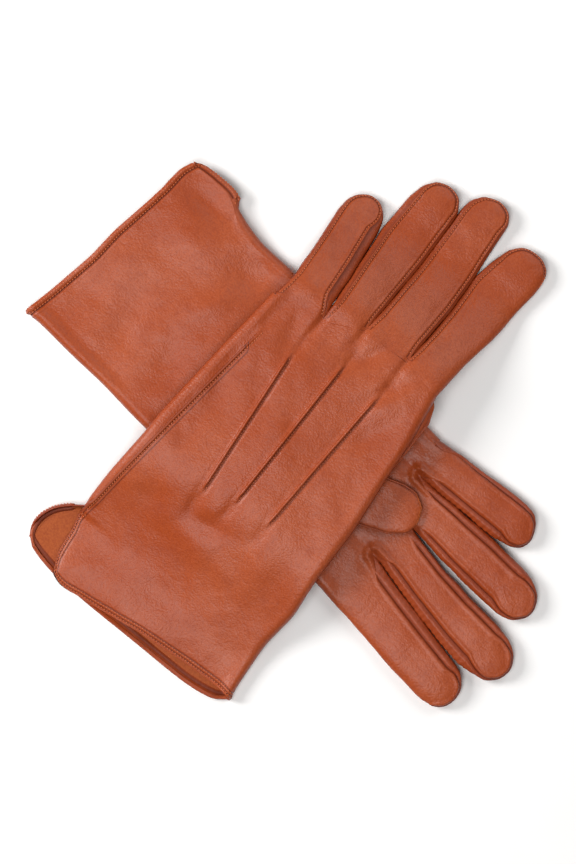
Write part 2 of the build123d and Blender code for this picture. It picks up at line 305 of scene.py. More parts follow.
@dataclass
class Sheet:
    """One leather sheet. Its outer face is a grid; folded_end marks a last row whose halves lie on each other."""

    name: str
    outer: np.ndarray
    sign: float
    edge: np.ndarray
    thickness: "float | np.ndarray" = LEATHER
    folded_end: bool = False
    hemmed: bool = False
    sewn: float = 0.0  # how many rows of topstitching run inside its edge
    # painted shade: how dark the leather is painted in its seams' furrows, beside the points and under lapped edges
    painted_shade: "np.ndarray | None" = None
    normals: np.ndarray = field(init=False)

    def __post_init__(self) -> None:
        """Works out the normals."""
        self.normals = grid_normals(self.outer, self.sign)
        self.match_fold()

    def match_fold(self) -> None:
        """Gives the two halves of a folded last row the same normals: their mean."""
        if self.folded_end:
            last = self.normals[-1]
            self.normals[-1] = unit(last + last[::-1])

    def puff(self, height: np.ndarray) -> None:
        """Moves the outer face along its normals, and works the normals out again."""
        self.outer = self.outer + self.normals * height[..., None]
        self.normals = grid_normals(self.outer, self.sign)
        self.match_fold()

    def meet(self, others: "list[Sheet]") -> None:
        """Gives its last row and the first rows of the sheets beyond it the same normals, so that no line shows."""
        end = self.outer.shape[1]
        for other in reversed(others):
            start = end - other.outer.shape[1]
            mean = unit(self.normals[-1, start:end] + other.normals[0])
            self.normals[-1, start:end] = mean
            other.normals[0] = mean
            end = start + 1

    def row_at(self, distance: float, right: bool, first: int = 0) -> tuple[np.ndarray, np.ndarray]:
        """Points and normals at a distance in from one end of each row, as for a line of stitches.

        Args:
            distance: how far in, along the sheet.
            right: whether to measure from the last end of each row.
            first: the first row to use.
        Returns:
            The points and the normals there.
        """
        p = self.outer[first:, ::-1] if right else self.outer[first:]
        n = self.normals[first:, ::-1] if right else self.normals[first:]
        s = run_along(p, 1)
        k = np.clip((s < distance).sum(axis=1), 1, p.shape[1] - 1)
        i = np.arange(len(p))
        t = ((distance - s[i, k - 1]) / np.maximum(s[i, k] - s[i, k - 1], 1e-9))[:, None]
        return p[i, k - 1] * (1 - t) + p[i, k] * t, unit(n[i, k - 1] * (1 - t) + n[i, k] * t)

    def build(self, lay: Lay, material: bpy.types.Material) -> bpy.types.Object:
        """Makes the closed shell: outer face, inner face one thickness in, and a rounded rim between their borders.

        Args:
            lay: how the glove lies.
            material: the sheet's finish.
        Returns:
            The object, with its place in its mesh.
        """
        p, n = self.outer, self.normals
        t = np.broadcast_to(np.asarray(self.thickness, float)[..., None], (*p.shape[:2], 1))
        rows, columns = p.shape[:2]
        inner = p - n * t
        out = np.zeros_like(p)
        out[0] += border_side(p[0], p[1], n[0])
        out[:, 0] += border_side(p[:, 0], p[:, 1], n[:, 0])
        out[:, -1] += border_side(p[:, -1], p[:, -2], n[:, -1])
        if not self.folded_end:
            out[-1] += border_side(p[-1], p[-2], n[-1])
        out = unit(out)
        middle = (p + inner) / 2 + out * t * 0.4
        number = np.arange(rows * columns).reshape(rows, columns)
        down, across = number[::-1, 0], number[0, 1:]
        up = number[1:, -1]
        chain = [down, across, up]
        if not self.folded_end:
            chain.append(number[-1, -2::-1])
        ring = np.concatenate(chain)
        count = rows * columns
        rim = 2 * count + np.arange(len(ring))
        quads = np.stack([number[:-1, :-1], number[:-1, 1:], number[1:, 1:], number[1:, :-1]], axis=-1).reshape(-1, 4)
        upper = np.stack([ring[:-1], ring[1:], rim[1:], rim[:-1]], axis=-1)
        lower = np.stack([rim[:-1], rim[1:], ring[1:] + count, ring[:-1] + count], axis=-1)
        faces = np.concatenate([quads, quads[:, ::-1] + count, upper, lower])
        flat = lambda v: v.reshape(-1, 3)
        points = np.concatenate([flat(p), flat(inner), flat(middle)[ring]])
        normals = np.concatenate([flat(n), -flat(n), flat(out)[ring]])
        both = lambda v, rim_value: np.concatenate([v.ravel(), v.ravel(), np.full(len(ring), rim_value)])
        turned = ease(self.edge, 4.2, 4.6) if self.hemmed else np.ones_like(self.edge)
        # painted shade: the darkening mask that goes to the shader
        painted_shade = self.painted_shade if self.painted_shade is not None else np.zeros_like(self.edge)
        values = {
            "edge_mm": both(self.edge, 0.0),
            "inside": np.concatenate([np.zeros(count), turned.ravel(), np.zeros(len(ring))]),
            "sewn": both(np.full_like(self.edge, self.sewn), self.sewn),
            "painted_shade": both(painted_shade, 0.0),
            # painted shade: the leather is darkened as its surface turns away from straight up, as at its rounded sides
            # and rims
            "side_shade": both(1.0 - np.abs(n[..., 2]), 1.0),
        }
        return make_mesh(self.name, lay, points, normals, faces, values, material)


def read(items: bpy.types.bpy_prop_collection, key: str, width: int = 3, kind: type = np.float32) -> np.ndarray:
    """Values of a mesh's parts as an array, a row for each part if it has several."""
    values = np.zeros(len(items) * width, kind)
    items.foreach_get(key, values)
    return values.reshape(-1, width) if width > 1 else values


def make_mesh(
    name: str,
    lay: Lay,
    points: np.ndarray,
    normals: np.ndarray | None,
    faces: np.ndarray,
    values: dict[str, np.ndarray],
    material: bpy.types.Material,
) -> bpy.types.Object:
    """Puts arrays into a mesh, closes its seams and poles, and turns its faces outwards.

    Args:
        name: the piece's name.
        lay: how the glove lies.
        points: plan points in millimetres.
        normals: shading normals in the plan, or None for those of the faces.
        faces: four point numbers a face.
        values: a number at each point, by attribute name.
        material: the finish.
    Returns:
        The object.
    """
    mesh = bpy.data.meshes.new(name)
    placed = lay.place(points)
    mesh.from_pydata(placed.tolist(), [], faces.tolist())
    vectors = {"rest_m": placed}
    if normals is not None:
        vectors["shade"] = lay.aim(normals)
    for key, array in vectors.items():
        mesh.attributes.new(key, "FLOAT_VECTOR", "POINT").data.foreach_set("vector", array.astype(np.float32).ravel())
    for key, array in values.items():
        mesh.attributes.new(key, "FLOAT", "POINT").data.foreach_set("value", array.astype(np.float32))
    solid = bmesh.new()
    solid.from_mesh(mesh)
    bmesh.ops.remove_doubles(solid, verts=solid.verts, dist=2e-6)
    bmesh.ops.recalc_face_normals(solid, faces=solid.faces)
    solid.to_mesh(mesh)
    solid.free()
    mesh.polygons.foreach_set("use_smooth", np.ones(len(mesh.polygons), bool))
    if normals is not None:
        shade = unit(read(mesh.attributes["shade"].data, "vector"))
        first = read(mesh.polygons, "loop_start", 1, int)
        corner = read(mesh.loops, "vertex_index", 1, int)
        if (read(mesh.polygons, "normal") * shade[corner[first]]).sum() < 0:
            mesh.flip_normals()
            mesh.update()
        own = read(mesh.vertices, "normal")
        against = (own * shade).sum(axis=1) < 0.3
        shade[against] = own[against]
        mesh.normals_split_custom_set_from_vertices(shade.tolist())
        mesh.attributes.remove(mesh.attributes["shade"])
    mesh.materials.append(material)
    piece = bpy.data.objects.new(name, mesh)
    bpy.context.scene.collection.objects.link(piece)
    return piece


@dataclass
class Stitching:
    """Short bars of thread laid along lines on the leather, gathered into one piece."""

    name: str
    pitch: float = 1.55
    length: float = 0.95
    width: float = 0.52
    lines: list[tuple[np.ndarray, np.ndarray]] = field(default_factory=list)

    def follow(self, points: np.ndarray, normals: np.ndarray) -> None:
        """Adds a line of stitches at an even pitch along a path on the surface.

        Args:
            points: the path.
            normals: the surface's normals along it.
        """
        s = run_along(points)
        want = np.arange(0.5, s[-1] / self.pitch - 0.4) * self.pitch
        if len(want) < 2:
            return
        place = np.stack([np.interp(want, s, points[:, k]) for k in range(3)], axis=1)
        up = unit(np.stack([np.interp(want, s, normals[:, k]) for k in range(3)], axis=1))
        self.lines.append((place, up))

    def build(self, lay: Lay, material: bpy.types.Material) -> bpy.types.Object:
        """Lays a small six-sided bar, tapered at its ends, at each point, turned along the line.

        Args:
            lay: how the glove lies.
            material: the thread.
        Returns:
            The stitches as one object.
        """
        turn = np.arange(6) * math.pi / 3
        x = np.repeat([-0.5, -0.28, 0.28, 0.5], 6) * self.length
        r = np.repeat([0.35, 1.0, 1.0, 0.35], 6) * self.width / 2
        y, z = np.tile(np.cos(turn), 4) * r, np.tile(np.sin(turn), 4) * r
        ring = np.arange(6)
        sides = [np.stack([k + ring, k + (ring + 1) % 6, k + 6 + (ring + 1) % 6, k + 6 + ring], 1) for k in (0, 6, 12)]
        caps = [[0, 1, 2, 3], [0, 3, 4, 5], [18, 19, 20, 21], [18, 21, 22, 23]]
        faces = np.concatenate([*sides, caps])
        points, quads, total = [], [], 0
        for place, up in self.lines:
            way = unit(np.gradient(place, axis=0))
            way = unit(way - up * (way * up).sum(axis=1, keepdims=True))
            side = np.cross(up, way)
            flat = way[:, None] * x[:, None] + side[:, None] * y[:, None]
            p = place[:, None] + flat + up[:, None] * (z + 0.1)[:, None]
            points.append(p.reshape(-1, 3))
            quads.append((faces[None] + (total + np.arange(len(place)) * 24)[:, None, None]).reshape(-1, 4))
            total += len(place) * 24
        return make_mesh(self.name, lay, np.concatenate(points), None, np.concatenate(quads), {}, material)


@dataclass
class Stall:
    """A finger's or thumb's stall: a stuffed section along a plan outline, in four sheets with their seams.

    A section is a superellipse: q runs from 0 under the middle line, through 0.5 at the side, to 1 on top.
    """

    name: str
    left: Points
    tip: Points
    right: Points
    body: str
    hinge: float  # b of the joint's line
    back_inset: tuple[float, float] = (0.9, 0.9)  # of the lapped edge, from the outline
    palm_inset: tuple[float, float] = (1.5, 1.5)
    folded: bool = False  # the index side is a fold, with no seam
    rippled: "Side | None" = None  # the side whose strip is puckered
    bound: bool = True  # its root joins the hand
    half: float = 4.0
    seed: int = 1
    rows: int = 92
    tip_rows: int = 26
    wide: int = 20
    turn: float = 0.0
    pivot: tuple[float, float] = (0.0, 0.0)
    level: float = 0.0

    def tip_start(self) -> float:
        """The b where the sides end and the tip's arc begins."""
        return self.left[-1][1]

    def edges(self, b: np.ndarray) -> tuple[np.ndarray, np.ndarray]:
        """The outline's a on both sides, at b."""
        low = across_at(self.left, b, 1.5)
        high = across_at(self.right[::-1], b, 1.5)
        return low, high

    def arcs(self) -> tuple[np.ndarray, np.ndarray]:
        """The tip's outline as two arcs, from either side to the point halfway round."""
        b = np.array([self.tip_start()])
        low, high = self.edges(b)
        ring = along(((low[0], b[0]), *self.tip, (high[0], b[0])), 401, 1.6)
        first, second = ring[:201], ring[200:][::-1]
        pick = np.linspace(0, 200, self.tip_rows + 1).astype(int)[1:]
        return first[pick], second[pick]

    def half_height(self, b: np.ndarray) -> np.ndarray:
        """Half the section's height: it lies a little flatter towards the tip."""
        first, last = self.left[0][1], self.tip_start()
        return self.half * (1.0 - 0.14 * ease(b, first + 10, last + 6))

    def insets(self, face: Face, side: Side, share: np.ndarray) -> np.ndarray:
        """Where a skin's edge runs, as q: from its inset beside the finger to the seam's middle at the tip.

        Args:
            face: back or palm.
            side: which edge.
            share: 0 along the side, rising to 1 at the middle of the tip.
        Returns:
            q for each row.
        """
        inset = (self.back_inset if face is Face.BACK else self.palm_inset)[0 if side is Side.LITTLE else 1]
        reach = np.clip(1.0 - inset / 10.5, 0.05, 0.995) ** (POWER / 2)
        q = np.arcsin(reach) / math.pi
        if face is Face.BACK:
            q = 1.0 - q
        if self.folded and side is Side.INDEX:
            q = 0.5
        return q + (0.5 - q) * ease(share, 0.0, 1.0)

    def section(self, q: np.ndarray) -> tuple[np.ndarray, np.ndarray]:
        """Across and height of the superellipse at q, each from -1 to 1."""
        x = np.clip(np.sin(math.pi * q), 0.0, 1.0) ** (2 / POWER)
        c = np.cos(math.pi * q)
        return x, -np.sign(c) * np.abs(c) ** (2 / POWER)

    def share(self) -> np.ndarray:
        """For each row, 0 along the side and rising to 1 over the tip."""
        return np.concatenate([np.zeros(self.rows + 1), np.linspace(0, 1, self.tip_rows + 1)[1:]])

    def surface(
        self,
        q: np.ndarray,
        side: np.ndarray,
        start_a: np.ndarray,
        start_b: np.ndarray,
        lay: Lay,
        root: np.ndarray | None,
    ) -> np.ndarray:
        """Points of the section's surface, for rows from the root to the tip and columns round the section.

        Args:
            q: place round the section, rows by columns.
            side: -1 or 1 for each column.
            start_a: a of each column's first point.
            start_b: b of each column's first point.
            lay: how the glove lies.
            root: height of each column's first point, if the root joins the hand.
        Returns:
            Points, rows by columns.
        """
        x, z = self.section(q)
        t = np.linspace(0.0, 1.0, self.rows + 1)[:, None]
        b = (1 - t) * start_b[None] + t * self.tip_start()
        low, high = self.edges(b)
        middle, reach = (low + high) / 2, (high - low) / 2
        a = middle + side[None] * reach * x[: self.rows + 1]
        centre = lay.rest(b) + HEIGHT / 2 + self.level
        height = centre + self.half_height(b) * z[: self.rows + 1]
        if root is not None:
            w = ease(b - start_b[None], 0.0, ROOT_FADE)
            low0, high0 = self.edges(start_b)
            middle0, reach0 = (low0 + high0) / 2, (high0 - low0) / 2
            share0 = (start_a - middle0) / reach0
            a = (1 - w) * (middle + reach * share0[None]) + w * a
            lift = root[None] + lay.rest(b) - lay.rest(start_b)[None]
            height = (1 - w) * lift + w * height
        body = np.stack([a, b, height], axis=-1)
        first, second = self.arcs()
        mid = np.array([middle[-1].mean(), self.tip_start()])
        ends = np.where(side[None, :, None] < 0, first[:, None], second[:, None])
        plan = mid + (ends - mid) * x[self.rows + 1 :, :, None]
        centre = lay.rest(plan[..., 1]) + HEIGHT / 2 + self.level
        top = centre + self.half_height(plan[..., 1]) * z[self.rows + 1 :]
        if root is None and not self.bound:
            height = height + 1.5 * (1.0 - ease(b, self.left[0][1], self.left[0][1] + 22.0))
            body = np.stack([a, b, height], axis=-1)
        return np.concatenate([body, np.concatenate([plan, top[..., None]], axis=-1)])

    def swing(self, p: np.ndarray) -> np.ndarray:
        """Turns plan points about the pivot, for a stall that isn't in line with the glove."""
        if not self.turn:
            return p
        t = math.radians(self.turn)
        a, b = p[..., 0] - self.pivot[0], p[..., 1] - self.pivot[1]
        x = self.pivot[0] + a * math.cos(t) - b * math.sin(t)
        y = self.pivot[1] + a * math.sin(t) + b * math.cos(t)
        return np.stack([x, y, p[..., 2]], axis=-1)

    def creases(self, p: np.ndarray, face: Face) -> np.ndarray:
        """Wear along the finger: soft rumples, and fine creases across it where it bends.

        Args:
            p: the skin's points.
            face: which skin it is.
        Returns:
            A height for each point, in millimetres.
        """
        a, b = p[..., 0], p[..., 1]
        first, last = self.left[0][1], self.tip_start()
        soft = 0.5 * rumple(a, b, 17.0, self.seed) + 0.22 * rumple(a, b, 7.0, self.seed + 40)
        bend = first + (last - first) * np.array([0.42, 0.78])
        warp = b + 1.6 * rumple(a, b, 9.0, self.seed + 3)
        lines = sum(np.exp(-(((warp - c) / 7.0) ** 2)) for c in bend)
        fine = 0.055 * lines * np.sin(warp * 2.1 + 1.2 * rumple(a, b, 6.0, self.seed + 9))
        tip = 0.04 * ease(b, last - 8, last + 6) * np.sin((a * 0.8 + warp) * 2.6)
        amount = ease(b, first, first + 16)
        if not self.bound:
            amount = 1.0
        return amount * (soft + (fine + tip if face is Face.PALM else 0.4 * fine))

    def spread(self) -> np.ndarray:
        """Columns from -1 to 1 across a skin, closer together towards its seams."""
        k = np.linspace(-1, 1, 2 * self.wide + 1)
        return 0.4 * k + 0.6 * np.sin(math.pi / 2 * k)

    def skin(self, face: Face, lay: Lay, hand: "Hand | None") -> Sheet:
        """The back or palm sheet, from edge to edge over the middle line.

        Args:
            face: which of the two.
            lay: how the glove lies.
            hand: the hand it grows from, or none for a thumb.
        Returns:
            The sheet.
        """
        k = self.spread()
        side = np.where(k <= 0, -1.0, 1.0)
        share = self.share()
        little, index = (self.insets(face, which, share)[:, None] for which in (Side.LITTLE, Side.INDEX))
        edge_q = np.where(side[None] < 0, little, index)
        q = 1.0 - np.abs(k)[None] * (1.0 - edge_q) if face is Face.BACK else np.abs(k)[None] * edge_q
        start_a, start_b, root = self.root_row(face, lay, hand)
        p = self.surface(q, side, start_a, start_b, lay, root)
        name = self.name + ("_back_skin" if face is Face.BACK else "_palm_skin")
        sheet = Sheet(name, p, face.value, np.zeros(p.shape[:2]), folded_end=True)
        sheet.sewn = 1.0 if face is Face.BACK and self.bound else 0.0
        near = seam_distance(p, not self.folded)
        if self.folded:
            near = near + (seam_distance(p) - near) * ease(share, 0.0, 0.5)[:, None]
        grown = ease(p[..., 1] - start_b[None], 1.0, 8.0) if self.bound else np.ones_like(near)
        if self.bound and "little" in self.name:
            late = ease(p[..., 1] - start_b[None], 8.0, 34.0)
            grown = np.where(k[None] < 0, late, grown)
        sheet.edge = near + 8.0 * (1.0 - ease(p[..., 1] - start_b[None], 0.0, 2.5) if self.bound else 0.0 * near)
        lap = 0.45 * hump(near, 0.5, 0.75) - 0.3 * hump(near, 1.4, 0.45) + 0.22 * hump(near, 2.5, 0.8)
        roll = -1.3 * np.exp(-near / 0.55) + 0.45 * hump(near, 1.9, 1.0)
        shape = lap if face is Face.BACK else roll
        if not self.bound:
            shape = -0.5 * np.exp(-near / 0.8)
        # painted shade along the finger skins' seam edges
        sheet.painted_shade = grown * (0.5 * np.exp(-near / 0.5) if face is Face.BACK else 0.7 * np.exp(-near / 0.4))
        sheet.puff(grown * shape + self.creases(p, face))
        sheet.outer = self.swing(sheet.outer)
        sheet.normals = grid_normals(sheet.outer, sheet.sign)
        sheet.match_fold()
        return sheet

    def root_row(self, face: Face, lay: Lay, hand: "Hand | None") -> tuple[np.ndarray, np.ndarray, np.ndarray | None]:
        """First row of a skin: evenly eased between the finger's two edges, on the hand's own surface.

        Args:
            face: which skin.
            lay: how the glove lies.
            hand: the hand it grows from, or none for a thumb.
        Returns:
            The positions across and along, and the heights if there is a hand.
        """
        k = self.spread()
        if hand is None:
            b = np.full(len(k), self.left[0][1])
            low, high = self.edges(b)
            return (low + high) / 2 + (high - low) / 2 * k, b, None
        low, high = hand.finger_root(self, face)
        a = (low + high) / 2 + (high - low) / 2 * k
        b = hand.knuckle_b(a)
        return a, b, hand.height(face, a, b)

    def wall_start(self, side: Side) -> float:
        """The b where a side strip begins: at the crotch, or tucked into the hand at the little finger's side."""
        if not self.bound:
            return self.left[0][1]
        if side is Side.LITTLE and "little" in self.name:
            return self.left[0][1] + (3.0 if self.left[0][1] > 170 else -1.0)
        return (self.left if side is Side.LITTLE else self.right[::-1])[1][1] - 1.5

    def wall(self, side: Side, lay: Lay) -> Sheet:
        """The strip beside the finger, tucked under the back's edge and rolled against the palm's.

        Args:
            side: which side of the finger.
            lay: how the glove lies.
        Returns:
            The sheet.
        """
        share = self.share()
        low, high = self.insets(Face.PALM, side, share), self.insets(Face.BACK, side, share)
        under = 0.075 * (1 - share) + 0.015
        if self.bound:
            run = np.linspace(0, 1, self.rows + 1) * (self.tip_start() - self.wall_start(side))
            outside = side is Side.LITTLE and "little" in self.name
            given = ease(run, 3.0, 19.0) if outside else ease(run, 0.0, 15.0)
            root = np.concatenate([1.0 - given, np.zeros(self.tip_rows)])
            low, under = low * (1 - (0.97 if outside else 0.45) * root), under + 0.12 * root
        k = np.linspace(0, 1, 13)
        q = (low - 0.004)[:, None] * (1 - k) + (high + under)[:, None] * k
        columns = np.full(13, float(side.value))
        outer = self.bound and side is Side.LITTLE and "little" in self.name
        start = self.wall_start(side)
        start_b = np.full(13, start)
        p = self.surface(q, columns, np.zeros(13), start_b, lay, None)
        centre = lay.rest(p[..., 1]) + HEIGHT / 2 + self.level
        if outer:
            w = ease(p[..., 1], start + 3.0, start + 17.0)[: self.rows + 1]
            inset = 0.35 * (1 - ease(p[..., 1], start, start + 9.0)[: self.rows + 1])
            phi = math.pi * (q[: self.rows + 1] - 0.5)
            body = p[: self.rows + 1]
            round_a = self.edges(body[..., 1])[0] + LITTLE_ROUND - (LITTLE_ROUND - inset) * np.cos(phi)
            round_z = centre[: self.rows + 1] + (HEIGHT / 2 - 0.5 - inset) * np.sin(phi)
            body[..., 0] = (1 - w) * round_a + w * body[..., 0]
            body[..., 2] = (1 - w) * round_z + w * body[..., 2]
        elif self.bound:
            open_ = ease(p[..., 1], start, start + 9.0)
            p[..., 2] = centre + (p[..., 2] - centre) * (0.35 + 0.65 * open_)
            p[..., 0] += side.value * 0.5 * (1 - open_)
        label = "index_side" if side is Side.INDEX else "little_side"
        sheet = Sheet(f"{self.name}_wall_{label}", p, float(-side.value), np.zeros(p.shape[:2]), thickness=SIDE_LEATHER)
        near = seam_distance(p, False)
        sheet.edge = near + 0.3
        # painted shade: darker towards the edge that tucks under the back, and along the strip's seam edge
        hollow = 0.8 * ease(k, 0.6, 0.97)[None] * (1 - 0.8 * share[:, None])
        sheet.painted_shade = np.maximum(0.7 * np.exp(-near / 0.4), hollow)
        length = run_along(p[:, 6])[:, None]
        wander = 2.0 * rumple(length, 0 * length + self.seed, 6.0, self.seed + 5)
        folds = (0.17 if self.rippled is side else 0.05) * np.sin(length * 1.9 + 5.0 * k[None] + wander)
        soft = 0.3 * rumple(length + 0 * k, 6 * k[None] + self.seed, 8.0, self.seed + 21)
        taper = np.sin(math.pi * np.clip(k, 0.02, 0.98))[None] * (1 - share[:, None])
        ridge = 0.55 * hump(near, 1.7, 1.0) - 1.0 * np.exp(-near / 0.5)
        inward = -0.5 * ease(k[None], 0.5, 0.9) * (1 - share[:, None] * 0.5)
        sheet.puff(inward + ridge * (1 - share[:, None]) + taper * (folds + soft))
        sheet.outer = self.swing(sheet.outer)
        sheet.normals = grid_normals(sheet.outer, sheet.sign)
        return sheet


@dataclass
class Hand:
    """The hand of a glove: the back skin with its hem, seam and points, and the palm skin that wraps round to it."""

    name: str
    lay: Lay
    little_edge: Points  # the outline from the vent's end up
    index_edge: Points
    seam: Points  # the lapped seam on the back, from the vent's end up
    back_vent: Points  # the back's hem from the cuff's corner to the vent's end
    back_cuff: Points  # from that corner to the index side
    palm_rim: Points  # the palm's outer rim at the vent
    palm_bend: Points  # the line just inside it
    palm_cuff: Points
    knuckles: Points  # the roots of the crotches, from the little side to the index side
    points: tuple[Points, ...]
    stalls: list[Stall]
    folds: tuple = ()  # soft hollows (and, below 0, swells) on the upper skin: centre, reach, turn, depth
    loops: tuple[int, ...] = ()  # crotches that end in a rolled loop
    seed: int = 11
    rows: int = 150

    def knuckle_b(self, a: np.ndarray) -> np.ndarray:
        """b of the knuckle line at a."""
        k = np.asarray(self.knuckles)
        return np.interp(a, k[:, 0], k[:, 1])

    def finger_root(self, stall: Stall, face: Face) -> tuple[float, float]:
        """The two ends of a finger's root on the knuckle line."""
        i = self.stalls.index(stall)
        low, high = self.knuckles[i][0], self.knuckles[i + 1][0]
        if i == 0:
            b = self.knuckles[0][1]
            low = self.seam[-1][0] if face is Face.BACK else float(self.outline(np.array([b]))[0][0]) + LITTLE_ROUND
        return low, high

    def outline(self, b: np.ndarray) -> tuple[np.ndarray, np.ndarray]:
        """The a of both silhouette edges; the little side's lies far off beside the open vent."""
        start = self.little_edge[0][1]
        low = across_at(self.little_edge, b, 3.0) - 14.0 * (1.0 - ease(b, start - 4, start + 8))
        return low, across_at(self.index_edge, b, 3.0)

    def relief(self, face: Face, a: np.ndarray, b: np.ndarray) -> np.ndarray:
        """How far a skin sinks below its full height: rumples, hollows between the fingers, and dimples.

        Args:
            face: which skin.
            a: positions across the glove.
            b: positions along it.
        Returns:
            The depth at each position, in millimetres.
        """
        s = self.seed + (0 if face is Face.BACK else 7)
        much = 1.3 if self.lay.palm_up and face is Face.PALM else 1.0
        sink = self.lay.slack(face) + 1.0 * much * rumple(a, b, 34.0, s) + 0.36 * much * rumple(a, b, 16.0, s + 1)
        for at, reach, turn, depth in self.folds if (face is Face.PALM) == self.lay.palm_up else ():
            sink = sink + 1.3 * depth * spot(a, b, at, reach, turn)
        sink = sink + 0.1 * rumple(a, b, 5.0, s + 2) + 0.25 * rumple(a + 0.6 * b, b * 0.35, 11.0, s + 3)
        for crotch in self.knuckles[1:-1]:
            deep = ease(b, crotch[1] - 26, crotch[1] + 2)
            sink = sink + 1.5 * deep * hump(a, crotch[0], 2.0 + 4.0 * (1 - deep))
        if face is Face.BACK:
            for line in self.points:
                (a0, b0), (a1, b1) = line[0], line[-1]
                turn = math.degrees(math.atan2(a0 - a1, b1 - b0))
                sink = sink + 1.3 * spot(a, b, (a0 + 0.5, b0 - 5), (3.5, 8.0), turn)
                sink = sink + 0.8 * spot(a, b, (a1 + 1.5, b1 + 6), (2.2, 7.0), turn)
        else:
            for i, crotch in enumerate(self.knuckles[1:-1]):
                r = np.hypot(a - crotch[0], b - crotch[1] - 1)
                angle = np.arctan2(b - crotch[1], a - crotch[0])
                sink = sink + 0.2 * np.exp(-((r / 8.0) ** 2)) * np.sin(7 * angle + r * 0.4) * ease(r, 0.5, 3.0)
                if i in self.loops:
                    sink = sink - 1.25 * hump(r, 3.4, 1.6) + 1.2 * hump(r, 0.0, 1.8) + 0.3 * hump(r, 6.8, 2.0)
        return sink

    def height(self, face: Face, a: np.ndarray, b: np.ndarray) -> np.ndarray:
        """Height of a skin's outer face: a slab whose sides are rounded by quarter circles at the silhouette.

        Args:
            face: which skin.
            a: positions across the glove.
            b: positions along it.
        Returns:
            The height at each position, in millimetres.
        """
        low, high = self.outline(b)
        d0 = np.clip((a - low) / LITTLE_ROUND, 0.0, 1.0)
        d1 = np.clip((high - a) / INDEX_ROUND, 0.0, 1.0)
        bulge = np.sqrt(np.clip(1 - (1 - d0) ** 2, 0, 1)) * np.sqrt(np.clip(1 - (1 - d1) ** 2, 0, 1))
        if self.lay.palm_up:
            floor = 1.1 if face is Face.BACK else -0.9
        else:
            floor = 0.15 if face is Face.PALM else -0.4
        sink = np.clip(self.relief(face, a, b), floor, 4.0)
        part = HEIGHT / 2 - sink * ease(np.minimum(a - low, high - a), 0.0, 9.0)
        return self.lay.rest(b) + HEIGHT / 2 + face.value * part * bulge

    def patch(
        self, left: np.ndarray, right: np.ndarray, bottom: np.ndarray, top: np.ndarray, v: np.ndarray
    ) -> np.ndarray:
        """A Coons patch in plan: the two pairs of edges blended straight, less the blend of the four corners.

        Args:
            left: points up the first side.
            right: points up the other side.
            bottom: points along the cuff.
            top: points along the far end.
            v: the share of the way up, for each row.
        Returns:
            A grid of points.
        """
        u = (top[:, 0] - top[0, 0]) / (top[-1, 0] - top[0, 0])
        u, w = u[None, :, None], v[:, None, None]
        ruled = (1 - u) * left[:, None] + u * right[:, None] + (1 - w) * bottom[None] + w * top[None]
        corners = (1 - u) * (1 - w) * bottom[0] + u * (1 - w) * bottom[-1] + (1 - u) * w * top[0] + u * w * top[-1]
        return ruled - corners

    def shares(self) -> np.ndarray:
        """Rows from cuff to knuckles: close together at the hem, then even."""
        close = np.linspace(0.0, 0.03, 18)[:-1]
        return np.concatenate([close, np.linspace(0.03, 1.0, self.rows - 17)])

    def columns(self, face: Face) -> np.ndarray:
        """The last row in plan: the fingers' first rows, end to end."""
        found = [s.root_row(face, self.lay, self)[:2] for s in self.stalls]
        a = np.concatenate([f[0] if i == 0 else f[0][1:] for i, f in enumerate(found)])
        return np.stack([a, self.knuckle_b(a)], axis=1)

    def rim(self, near: np.ndarray) -> np.ndarray:
        """The palm's hem: a fat rolled bead with one deep line of stitches behind it."""
        return 0.75 * hump(near, 1.5, 1.3) - 0.6 * hump(near, 3.4, 0.6) + 0.2 * hump(near, 4.8, 0.8)

    def hem(self, near: np.ndarray) -> np.ndarray:
        """The back's turned and twice-stitched hem: a bead, a furrow, a ridge and a second furrow."""
        bead = 0.5 * hump(near, 0.55, 0.55) - 0.3 * hump(near, 1.5, 0.35)
        return bead + 0.16 * hump(near, 2.3, 0.5) - 0.22 * hump(near, 3.2, 0.4)

    def back_skin(self) -> Sheet:
        """The back: from the hem and the lapped seam over to the fold at the index side."""
        top = self.columns(Face.BACK)
        v = self.shares()
        u = (top[:, 0] - top[0, 0]) / (top[-1, 0] - top[0, 0])
        vent_end = self.seam[0]
        left = along((*self.back_vent, *self.seam), 400, 1.6, v)
        right = along((self.back_cuff[-1], *self.index_edge[1:-1], tuple(top[-1])), 400, 2.5, v)
        bottom = along(self.back_cuff, 400, 2.0, u)
        plan = self.patch(left, right, bottom, top, v)
        a, b = plan[..., 0], plan[..., 1]
        high = self.outline(b)[1]
        a = np.minimum(a, high)
        a[:, -1] = high[:, -1]
        z = self.height(Face.BACK, a, b)
        p = np.stack([a, b, z], axis=-1)
        near_cuff = run_along(p[..., :2])
        near_side = seam_distance(p, False)
        vent = 1.0 - ease(b, vent_end[1] - 3, vent_end[1] + 3)
        open_edge = np.minimum(near_cuff, near_side + FAR * (1 - vent))
        thick = LEATHER + 0.7 * hump(open_edge, 0.7, 0.9)
        sheet = Sheet(self.name + "_back_skin", p, 1.0, open_edge, thick, hemmed=True, sewn=2.0)
        lap = 0.55 * hump(near_side, 0.6, 0.9) - 0.25 * hump(near_side, 1.7, 0.5)
        fading = ease(b, vent_end[1] - 2, vent_end[1] + 6) * (1 - ease(b, 140, 156))
        droop = -2.6 * np.exp(-open_edge / 8.0) * ease(a, self.index_edge[0][0], self.index_edge[0][0] - 14)
        sheet.puff(np.where(open_edge < 12, self.hem(open_edge), 0.0) + droop + lap * fading + self.point_relief(a, b))
        sheet.edge = np.minimum(open_edge, near_side + 12.0 * ease(b, 138.0, 152.0))
        # painted shade beside the points and along the lapped seam's edge
        sheet.painted_shade = np.maximum(self.point_shade(a, b), 0.6 * np.exp(-near_side / 0.5) * (1 - ease(b, 138, 152)))
        return sheet

